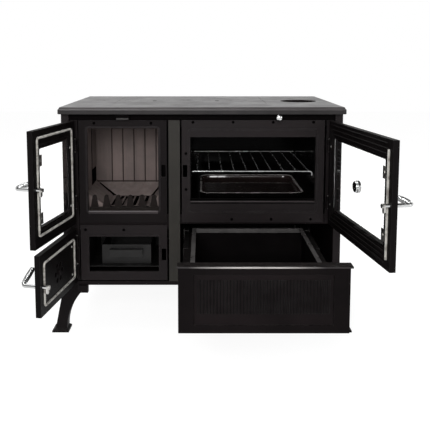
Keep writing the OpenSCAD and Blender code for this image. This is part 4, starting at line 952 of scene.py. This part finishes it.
def make_cheeks(left, right, back, floor):
    """The sloped cheeks, parted by a mitre gap from each back corner to the grate."""
    cheeks = dress("firebox_cheeks", "liner", 1.2 * MM, "liner")
    grate_low, grate_high = reach("grate")
    half_gap = 6.5 * MM
    cutters = []
    for wall, side in ((left, grate_low.x), (right, grate_high.x)):
        start, end = Vector((wall, back, 0)), Vector((side, back - 54 * MM, 0))
        ahead = (end - start).normalized()
        across = Vector((-ahead.y, ahead.x, 0)) * half_gap
        start, end = start - ahead * 30 * MM, end + ahead * 40 * MM
        outline = (start - across, end - across, end + across, start + across)
        cut = bmesh.new()
        loft(cut, [[Vector((v.x, v.y, z)) for v in outline] for z in (floor - 5 * MM, floor + 200 * MM)])
        cutters.append(cut)
    carve(cheeks, cutters)
    # The walls of the mitre gaps are painted as shade.
    coat(cheeks, "soot",
         lambda middle, normal: min(abs(normal.x), abs(normal.y)) > 0.3 and abs(normal.z) < 0.3)


def make_ash_compartment(sizes):
    """The ash box and the pan with its folded pull."""
    dress("ash_box", "sheet", sizes.sheet_edge, "sheet")
    dress("ash_pan", "sheet", sizes.sheet_edge, "sheet")


def make_oven(sizes):
    """The oven's enamelled box."""
    dress("oven_box", "enamel", sizes.sheet_edge, "enamel")


def make_rack():
    """Round wires welded on two rails, with a hook at the right end."""
    low, high = reach("oven_rack")
    rail, wire, bend = 1.9 * MM, 1.7 * MM, 8 * MM
    level = high.z - rail
    front, back = low.y + rail, high.y - rail
    hook_x = high.x - rail
    bm = bmesh.new()
    for y in (front, back):
        path = [(low.x, y, level), (low.x + 0.6 * MM, y, level), (hook_x - bend, y, level)]
        if y == front:
            path += [(hook_x - bend + bend * s, y, level - bend + bend * c) for c, s in arc(0, 90, 15)]
            path.append((hook_x, y, low.z))
        else:
            path.append((high.x, y, level))
        tube(bm, path, rail, 14)
    first, last = low.x + 17 * MM, high.x - 12 * MM
    count = 10
    for i in range(count):
        x = first + (last - first) * i / (count - 1)
        tube(bm, [(x, front, level - rail + wire), (x, back, level - rail + wire)], wire, 12)
    stand_in("oven_rack_wires", "oven_rack", "rack_wire", "chrome", bm)


def make_tray():
    """A shallow enamelled tray with flared walls, round corners and a rolled rim."""
    low, high = reach("baking_tray")
    section = [(24, 0.0), (17, 0.5), (12.5, 2.6), (9.8, 7.0), (7.6, 13.0), (6.2, 16.4), (4.4, 17.6),
               (2.2, 17.8), (0.6, 18.2), (0.0, 19.0), (0.7, 19.8), (2.4, 20.0), (5.2, 19.6), (7.4, 18.0),
               (8.9, 12.0), (10.4, 6.4), (13.0, 3.4), (17.5, 2.3), (26, 2.0)]
    section_h = 20 * MM
    rise = (high.z - low.z) / section_h
    bm = bmesh.new()
    loft(bm, [inset_rect(low, high, i * MM, (36 - 0.6 * i) * MM, low.z + h * rise * MM, 10)
              for i, h in section])
    tray = stand_in("baking_tray_pressing", "baking_tray", "tray_enamel", "enamel", bm, smooth=60.0)
    centre = (low + high) / 2
    # The tray's outer walls take the darker oven enamel as painted shade.
    coat(tray, "enamel", lambda middle, normal: (
        (middle.x - centre.x) * normal.x + (middle.y - centre.y) * normal.y > 0 and abs(normal.z) < 0.9))
    # The rim's top faces carry the painted highlight.
    coat(tray, "tray_rim", lambda middle, normal: middle.z > high.z - 2.6 * MM and normal.z > 0.1)


def make_controls():
    """The damper's knob and plate and the air slide."""
    low, high = reach("damper_knob")
    mid = (low + high) / 2
    profile = [(0, 0), (6, 0), (5.2, 2), (4.8, 5), (5.4, 7.4), (7.6, 9), (9.8, 10.4), (10.9, 12.2),
               (10.8, 14), (9.6, 15.8), (7.4, 17.2), (4, 17.9), (0, 18)]
    bm = bmesh.new()
    lathe(bm, [(r * MM, h * MM) for r, h in profile], placed((mid.x, high.y, mid.z), 90), 40)
    stand_in("damper_knob_turning", "damper_knob", "chrome", "chrome", bm, smooth=50.0)
    dress("damper_plate", "cast_raw", 0.5 * MM, "cast_raw")
    dress("air_slide", "rail_steel", 1.2 * MM, "steel")


def make_doors(sizes):
    """Door castings with their mouldings and bolts, and their glass and clips."""
    for door, node in DOOR_LEAVES.items():
        dress(node, "cast_door", sizes.cast_edge, "cast_body")
        make_door_mouldings(door, node, sizes.ridge)
    for door in ("firebox", "oven"):
        dress(door + "_door_glass", "glass", 0.0, "glass")
        dress(door + "_glass_clips", "steel", 0.5 * MM, "steel")


def make_door_mouldings(door, node, ridge_w):
    """Beads on the outer face, ridges round the glass inside, and the hinges' bolts."""
    matrix = DOORS[door]
    low, high = reach(node, matrix)
    bm = bmesh.new()
    inset = 11 * MM
    rim = (9 * MM + inset, high.x - inset, low.z + inset, high.z - inset)
    moulding(bm, rim, bead(7 * MM, 2.2 * MM, DOOR_FACE), matrix)
    if door != "ash":
        pane_low, pane_high = reach(door + "_door_glass", matrix)
        edge = 5.7 * MM
        left, right = pane_low.x + edge, pane_high.x - edge
        foot, head = pane_low.z + edge, pane_high.z - edge
        out = 9 * MM
        moulding(bm, (left - out, right + out, foot - out, head + out),
                 bead(8 * MM, 2.6 * MM, DOOR_FACE), matrix)
        if door == "oven":
            ridge = bead(ridge_w, 2.6 * MM, DOOR_INSIDE, 1)
            for out in (17 * MM, 32 * MM, 47 * MM):
                moulding(bm, (left - out, high.x - 35 * MM, foot - out, head + out), ridge, matrix, True)
        else:
            moulding(bm, (left - 10 * MM, right + 13 * MM, foot - 10 * MM, head + 12 * MM),
                     bead(5 * MM, 2.2 * MM, DOOR_INSIDE, 1), matrix)
    finish_piece(door + "_door_mouldings", bm, "cast_door", body_of(node), (), "cast_body", smooth=40.0)
    bm = bmesh.new()
    for u, z in DOOR_BOLTS[door]:
        screw_head(bm, matrix @ placed((u * MM, DOOR_INSIDE, z * MM), -90), 4 * MM, 2.6 * MM)
    finish_piece(door + "_door_bolts", bm, "steel", body_of(node), (), "steel", smooth=40.0)


def make_ropes(sizes):
    """Braided rope seals set in the doors: two loops, and a straight run on the oven door."""
    for door in ("firebox", "ash"):
        matrix = DOORS[door]
        low, high = reach(door + "_door_gasket", matrix)
        r = (high.y - low.y) / 2
        turned = matrix @ placed((0, (low.y + high.y) / 2, 0), 90)
        path = round_rect(low.x + r, high.x - r, low.z + r, high.z - r, 10 * MM, 0.0, 8, turned)
        make_rope(door, path, r, sizes.rope_lay, True)
    matrix = DOORS["oven"]
    low, high = reach("oven_door_gasket", matrix)
    r = (high.y - low.y) / 2
    mid = (low + high) / 2
    path = [matrix @ Vector((mid.x, mid.y, z)) for z in (low.z + r * 0.4, high.z - r * 0.4)]
    make_rope("oven", path, r, sizes.rope_lay, False)


def even_path(path, step, closed):
    """Points at even steps along a path."""
    points = [Vector(p) for p in path]
    if closed:
        points.append(points[0].copy())
    lengths = [(b - a).length for a, b in zip(points, points[1:])]
    total = sum(lengths)
    count = max(8, round(total / step))
    found = []
    i, gone = 0, 0.0
    for k in range(count if closed else count + 1):
        want = total * k / count
        while i < len(lengths) - 1 and gone + lengths[i] < want:
            gone += lengths[i]
            i += 1
        share = (want - gone) / lengths[i] if lengths[i] else 0.0
        found.append(points[i].lerp(points[i + 1], share))
    return found


def make_rope(door, route, r, lay, closed):
    """A tube whose skin crosses like a diamond braid."""
    node = door + "_door_gasket"
    path = even_path(route, 1.5 * MM, closed)
    step = (path[1] - path[0]).length
    strands = 4
    round_trip = lay * 2.2
    turns = max(1, round(len(path) * step / round_trip))
    wind = 2 * math.pi * turns / len(path) if closed else 2 * math.pi / (round_trip / step)

    def radius(i, a):
        left = math.sin(strands * a + wind * i)
        right = math.sin(strands * a - wind * i)
        return r * (0.93 + 0.07 * left * right)

    bm = bmesh.new()
    tube(bm, path, radius, 28, closed)
    stand_in(node + "_rope", node, "rope", "rope", bm, smooth=80.0)


def make_handles(sizes):
    """Bent spindles with collars, wire coil grips and latch cams."""
    for door, matrix in DOORS.items():
        cam = door + "_latch_cam"
        cam_low, cam_high = reach(cam, matrix)
        u = (cam_low.x + cam_high.x) / 2
        coil_low, coil_high = reach(door + "_handle_coil", matrix)
        height = JOINTS[door + "_handle_turn"]["pos_m"][2]
        rise = math.atan2((coil_low.z + coil_high.z) / 2 - height, u - (coil_low.x + coil_high.x) / 2)
        here = matrix @ Matrix.Translation((u, 0, height)) @ Matrix.Rotation(rise, 4, "Y")
        make_handle_rod(door, here, cam_low.y)
        make_coil(door, here, sizes)
        dress(cam, "steel", 0.8 * MM, "steel")


def make_handle_rod(door, here, back):
    """The spindle, its bend, and the bar through the grip with a collar at each end."""
    spindle, bar, turn = 6 * MM, 5 * MM, 8
    grip = COIL_LENGTH + 2 * COLLAR + 2 * MM
    path = [(0, back + 1 * MM, 0), (0, -16 * MM, 0), (0, GRIP_Y + GRIP_BEND, 0)]
    for i in range(1, turn + 1):
        a = math.radians(90 * i / turn)
        path.append((-GRIP_BEND + GRIP_BEND * math.cos(a),
                     GRIP_Y + GRIP_BEND - GRIP_BEND * math.sin(a), 0))
    bent = len(path)
    path += [(-GRIP_BEND - along, GRIP_Y, 0) for along in (1 * MM, grip - 2 * MM, grip - 0.7 * MM, grip)]

    def radius(i, _):
        if i < bent:
            return spindle
        return (bar, bar, 0.8 * bar, 0.35 * bar)[i - bent]

    bm = bmesh.new()
    tube(bm, [here @ Vector(p) for p in path], radius, 24)
    across = here @ placed((0, GRIP_Y, 0), -90, "Y")
    wide = 8.6 * MM
    for start in (GRIP_BEND, GRIP_BEND + COLLAR + COIL_LENGTH):
        profile = [(bar * 0.8, start), (0.8 * wide, start), (wide, start + 0.3 * COLLAR),
                   (wide, start + 0.7 * COLLAR), (0.8 * wide, start + COLLAR), (bar * 0.8, start + COLLAR)]
        lathe(bm, profile, across, 28)
    stand_in(door + "_handle_bar", door + "_handle_rod", "chrome", "chrome", bm, smooth=45.0)


def make_coil(door, here, sizes):
    """The wire wound round the grip, fuller in the middle."""
    wire, curls, per_curl = sizes.coil_wire, sizes.coil_curls, 20
    start = -GRIP_BEND - COLLAR - COIL_LENGTH + wire
    pitch = (COIL_LENGTH - 2 * wire) / curls
    slim, swell = 7.5 * MM, 1.3 * MM
    path = []
    for i in range(curls * per_curl + 1):
        a = 2 * math.pi * i / per_curl
        r = slim + swell * math.sin(math.pi * (i / (curls * per_curl)))
        spot = (start + pitch * i / per_curl, GRIP_Y + r * math.cos(a), r * math.sin(a))
        path.append(here @ Vector(spot))
    bm = bmesh.new()
    tube(bm, path, wire / 2, 8)
    stand_in(door + "_handle_coil_wire", door + "_handle_coil", "chrome", "chrome", bm, smooth=80.0)


def make_thermometer():
    """A chrome case on both sides of the oven glass, with a pale dial and a needle."""
    matrix = DOORS["oven"]
    low, high = reach("thermometer_case", matrix)
    mid = (low + high) / 2
    out = matrix @ placed((mid.x, 0, mid.z), 90)
    r = (high.x - low.x) / 2
    face, back = -low.y, -high.y
    stem, pin = 5 * MM, 1.4 * MM
    glass_out, glass_in = 1.2 * MM, -2.8 * MM
    bm = bmesh.new()
    profile = [(0.0, back), (r - 4.5 * MM, back), (r - 2.6 * MM, back + 0.8 * MM),
               (r - 2 * MM, back + 2 * MM), (r - 2.2 * MM, glass_in), (stem, glass_in),
               (stem, glass_out + 0.2 * MM), (r - 1 * MM, glass_out + 0.2 * MM),
               (r, glass_out + 1.6 * MM), (r, face - 1.8 * MM), (r - 0.6 * MM, face - 0.5 * MM),
               (r - 1.6 * MM, face), (r - 2.6 * MM, face - 0.8 * MM), (r - 3.2 * MM, face - 4.1 * MM),
               (pin, face - 4.1 * MM), (pin, face - 1.8 * MM), (0.0, face - 1.6 * MM)]
    lathe(bm, profile, out, 56)
    stand_in("thermometer_case_turning", "thermometer_case", "chrome", "chrome", bm)
    bm = bmesh.new()
    lathe(bm, [(0.0, face - 3.9 * MM), (r - 3.4 * MM, face - 3.9 * MM)], out, 48)
    finish_piece("thermometer_dial", bm, "dial_white", "oven_door")
    bm = bmesh.new()
    marks, arc_degrees, rim = 24, 300, r - 4.2 * MM
    for i in range(marks + 1):
        long, half = (3.0 * MM, 0.32 * MM) if i % 4 == 0 else (1.6 * MM, 0.18 * MM)
        spoke = out @ Matrix.Rotation(math.radians(arc_degrees * i / marks - arc_degrees / 2), 4, "Z")
        box(bm, (-half, rim - long, face - 4.0 * MM), (half, rim, face - 3.75 * MM), spoke)
    finish_piece("thermometer_marks", bm, "dial_black", "oven_door")
    dress("thermometer_needle", "needle", 0.15 * MM, "needle")


def make_spinner():
    """The ash door's air spinner with its knob."""
    dress("air_spinner", "cast_body", 0.9 * MM, "cast_body")


def make_drawer(sizes):
    """The wood drawer's ribbed front, its box with worn top edges, and the rails."""
    make_drawer_front()
    high = reach("drawer_box")[1]
    hem = 16 * MM

    # Top faces and the back's hem take the lighter sheet, partly wear and partly a painted highlight.
    def lighter_edges(middle, normal):
        on_top = normal.z > 0.9 and middle.z > high.z - 5 * MM
        on_hem = normal.y < -0.9 and middle.y > high.y - hem and middle.z > high.z - hem - 4 * MM
        return on_top or on_hem

    coat(dress("drawer_box", "drawer_black", sizes.sheet_edge, "sheet"), "bare_sheet", lighter_edges)
    dress("drawer_rails_outer", "rail_steel", sizes.sheet_edge, "sheet")
    dress("drawer_rails_middle", "rail_steel", sizes.sheet_edge, "sheet")


def make_drawer_front():
    """A slab with a recessed field, a proud lip along its top, and rounded ribs in the field."""
    low, high = reach("drawer_front")
    out, lip, thick = 5 * MM, 5 * MM, 18 * MM
    left, right, face, top = low.x + 3 * MM, high.x - 7 * MM, low.y + out, high.z - lip
    x0, x1, z0, z1 = left + 46 * MM, right - 48 * MM, low.z + 24 * MM, high.z - 25 * MM
    slab = stand_in("drawer_front_slab", "drawer_front", "cast_drawer", "cast_body",
                    new_box((left, face, low.z), (right, face + thick, top + 0.5 * MM)), edge=1.2 * MM)
    recess = bmesh.new()
    loft(recess, [[Vector((x, y, z)) for x, z in ((x0 + i, z0 + i), (x1 - i, z0 + i), (x1 - i, z1 - i),
                                                  (x0 + i, z1 - i))]
                  for y, i in ((face - 2 * MM, -1.5 * MM), (face + 4 * MM, 1.5 * MM))])
    carve(slab, [recess])
    coat(slab, "drawer_field", lambda middle, normal: normal.y < -0.9 and middle.y > face + 3 * MM)
    bm = bmesh.new()
    r = 2.2 * MM
    nose = [(low.y + r * (1 - s), high.z - r * (1 - c)) for c, s in arc(0, 90, 18)]
    section = [(high.y, high.z), *nose, (low.y + 0.6 * MM, top), (face + thick, top), (high.y, top)]
    loft(bm, [[Vector((x, y, z)) for y, z in section] for x in (low.x, high.x)])
    # The lip's nose carries the painted highlight; its top and bottom faces keep the drawer paint.
    coat(finish_piece("drawer_front_lip", bm, "drawer_lip", "wood_drawer", (), "cast_body", smooth=50.0),
         "cast_drawer", lambda middle, normal: normal.z > 0.95 or normal.z < -0.5)
    make_drawer_ribs(x0 + 10 * MM, x1 - 10 * MM, z0 + 34 * MM, z1 - 17 * MM, face + 4.3 * MM)


def make_drawer_ribs(x0, x1, z0, z1, back):
    """Upright ribs with tapered ends on a dark backing."""
    count = 40
    pitch = (x1 - x0) / count
    half, proud, ground = pitch * 0.27, 3.3 * MM, back - 0.8 * MM
    ends = ((z0, 0.3), (z0 + 1.5 * MM, 0.85), (z0 + 4 * MM, 1.0),
            (z1 - 4 * MM, 1.0), (z1 - 1.5 * MM, 0.85), (z1, 0.3))
    bm = bmesh.new()
    for i in range(count):
        x = x0 + (i + 0.5) * pitch
        loft(bm, [[Vector((x + half * c, back - proud * size * s, z)) for c, s in arc(0, 180, 30)]
                  for z, size in ends])
    box(bm, (x0, ground, z0), (x1, back + 0.5 * MM, z1))
    # The backing's face between the ribs takes the black paint as painted shade.
    coat(finish_piece("drawer_front_ribs", bm, "drawer_field", "wood_drawer", (), "cast_body", smooth=50.0),
         "drawer_black", lambda middle, normal: abs(middle.y - ground) < 0.1 * MM and normal.y < -0.9)


# The stage

def make_stage(stage):
    """Camera at the photograph's angle, a pale floor and soft lamps."""
    scene = bpy.context.scene
    scene.view_settings.view_transform = "Standard"
    camera = bpy.data.objects.new("camera", bpy.data.cameras.new("camera"))
    scene.collection.objects.link(camera)
    scene.camera = camera
    camera.location = (0.00104, -2.21769, 0.99773)
    camera.rotation_euler = (math.radians(84.0), 0.0, 0.0)
    camera.data.sensor_width = 36.0
    camera.data.lens = 51.973
    camera.data.shift_x = 0.0296
    camera.data.shift_y = -0.2176
    make_world(scene, stage)
    make_floor(stage)
    aim = Vector((0, 0, 0.45))
    for name, place, size, power in (
        ("key_lamp", (-0.5, -3.7, 1.9), 1.5, stage.key),
        ("fill_lamp", (3.0, -2.4, 1.6), 1.6, stage.fill),
        ("top_lamp", (-0.8, 0.8, 3.4), 2.2, stage.top),
        ("window_lamp", (0.52, -3.7, 1.75), 0.16, stage.window),
    ):
        lamp = bpy.data.lights.new(name, "AREA")
        lamp.shape = "SQUARE"
        lamp.size = size
        lamp.energy = power
        holder = bpy.data.objects.new(name, lamp)
        scene.collection.objects.link(holder)
        holder.location = place
        holder.rotation_euler = (aim - Vector(place)).to_track_quat("-Z", "Y").to_euler()


def seen_directly(tree):
    """One for the rays that show the background: camera, glossy and transmission rays."""
    path = put(tree, "ShaderNodeLightPath").outputs
    shown = reckon(tree, "MAXIMUM", path["Is Camera Ray"], path["Is Glossy Ray"])
    return reckon(tree, "MAXIMUM", shown, path["Is Transmission Ray"])


def make_world(scene, stage):
    """Even room light, and a white backdrop whose ceiling is dark in polished metal."""
    world = bpy.data.worlds.new("studio")
    scene.world = world
    world.use_nodes = True
    tree = world.node_tree
    tree.nodes.clear()
    up = put(tree, "ShaderNodeSeparateXYZ", {0: put(tree, "ShaderNodeTexCoord").outputs["Generated"]})
    ceiling = spread(tree, up.outputs["Z"], 0.24, 0.50, 1.0, stage.ceiling)
    rays = put(tree, "ShaderNodeLightPath").outputs
    through = times(tree, rays["Is Transmission Ray"], 1.5)
    backdrop = reckon(tree, "MAXIMUM", reckon(tree, "MAXIMUM", ceiling, rays["Is Camera Ray"]), through)
    room = put(tree, "ShaderNodeBackground", {"Color": WHITE, "Strength": stage.room}).outputs[0]
    white = put(tree, "ShaderNodeBackground", {"Color": WHITE, "Strength": backdrop}).outputs[0]
    both = put(tree, "ShaderNodeMixShader", {0: seen_directly(tree), 1: room, 2: white}).outputs[0]
    put(tree, "ShaderNodeOutputWorld", {0: both})


def make_floor(stage):
    """A white floor that takes part of the stove's shadow."""
    half, level = 9.0, -0.4 * MM
    bm = bmesh.new()
    bm.faces.new([bm.verts.new((x, y, level)) for x, y in
                  ((-half, -half), (half, -half), (half, half), (-half, half))])
    mesh = bpy.data.meshes.new("floor")
    bm.to_mesh(mesh)
    bm.free()
    floor = bpy.data.objects.new("floor", mesh)
    bpy.context.scene.collection.objects.link(floor)
    tree, shader = new_finish("floor")
    fill_inputs(shader, {"Base Color": FLOOR_GREY, "Roughness": 0.9, "Specular IOR Level": 0.1})
    through = put(tree, "ShaderNodeLightPath").outputs["Is Transmission Ray"]
    bright = reckon(tree, "ADD", times(tree, through, 0.7), 1.28)
    glow = put(tree, "ShaderNodeEmission", {"Color": WHITE, "Strength": bright})
    share = times(tree, seen_directly(tree), 1.0 - stage.shadow)
    both = put(tree, "ShaderNodeMixShader", {0: share, 1: shader.outputs[0], 2: glow.outputs[0]})
    tree.links.new(both.outputs[0], tree.nodes["Material Output"].inputs["Surface"])
    mesh.materials.append(bpy.data.materials["floor_finish"])


# Operators: one for each group of pieces, in the order in which they are run

def operator(word, label, text, act, group=None):
    """An operator class that calls a making function, with a property group if it needs one."""

    def execute(self, context):
        if group:
            act(getattr(context.scene, group))
        else:
            act()
        return {"FINISHED"}

    return type("STOVE_OT_" + word, (bpy.types.Operator,), {
        "__doc__": text, "bl_idname": "stove." + word, "bl_label": label,
        "bl_options": {"REGISTER", "UNDO"}, "execute": execute})


SIZES, COLOURS, STAGE = "stove_sizes", "stove_colours", "stove_stage"
OPERATORS = [operator(*entry) for entry in (
    ("stage", "Stage", "Set up the camera, floor and lamps", make_stage, STAGE),
    ("finishes", "Finishes", "Make every finish", make_finishes, COLOURS),
    ("top_plate", "Top Plate", "Make the moulded top", make_top_plate, SIZES),
    ("cooking_plates", "Cooking Plates", "Make the inset plate, rings and lids", make_cooking_plates),
    ("body", "Body", "Make the panels, rails and legs", make_body, SIZES),
    ("front_frames", "Front Frames", "Make the frames round the openings", make_front_frames),
    ("hinges", "Hinges and Screws", "Make the hinges, pins and screws", make_hinges),
    ("firebox", "Firebox", "Make the liners, cheeks, grate and guard", make_firebox),
    ("ash_compartment", "Ash Compartment", "Make the ash box and pan", make_ash_compartment, SIZES),
    ("oven", "Oven", "Make the oven box", make_oven, SIZES),
    ("rack", "Oven Rack", "Make the wire rack", make_rack),
    ("tray", "Baking Tray", "Make the tray", make_tray),
    ("controls", "Controls", "Make the damper and the air slide", make_controls),
    ("doors", "Doors", "Make the doors, glass and clips", make_doors, SIZES),
    ("ropes", "Rope Seals", "Make the door ropes", make_ropes, SIZES),
    ("handles", "Handles", "Make the handles and latches", make_handles, SIZES),
    ("thermometer", "Thermometer", "Make the thermometer", make_thermometer),
    ("spinner", "Air Spinner", "Make the air spinner", make_spinner),
    ("drawer", "Wood Drawer", "Make the drawer and its rails", make_drawer, SIZES),
)]


class STOVE_PT_panel(bpy.types.Panel):
    """Lists the stove's sizes, colours and pieces"""

    bl_label = "Cook Stove"
    bl_idname = "STOVE_PT_panel"
    bl_space_type = "VIEW_3D"
    bl_region_type = "UI"
    bl_category = "Stove"

    def draw(self, context):
        for name in (SIZES, COLOURS, STAGE):
            group = getattr(context.scene, name)
            column = self.layout.column(align=True)
            for key in group.__annotations__:
                column.prop(group, key)
        for maker in OPERATORS:
            self.layout.operator(maker.bl_idname)


GROUPS = {SIZES: StoveSizes, COLOURS: StoveColours, STAGE: StoveStage}
CLASSES = [*GROUPS.values(), *OPERATORS, STOVE_PT_panel]


def register():
    for cls in CLASSES:
        bpy.utils.register_class(cls)
    for name, group in GROUPS.items():
        setattr(bpy.types.Scene, name, bpy.props.PointerProperty(type=group))


def unregister():
    for name in reversed(GROUPS):
        delattr(bpy.types.Scene, name)
    for cls in reversed(CLASSES):
        bpy.utils.unregister_class(cls)


def main():
    register()
    for maker in OPERATORS:
        group, word = maker.bl_idname.split(".")
        getattr(getattr(bpy.ops, group), word)()
    bpy.context.view_layer.update()


if __name__ == "__main__":
    main()
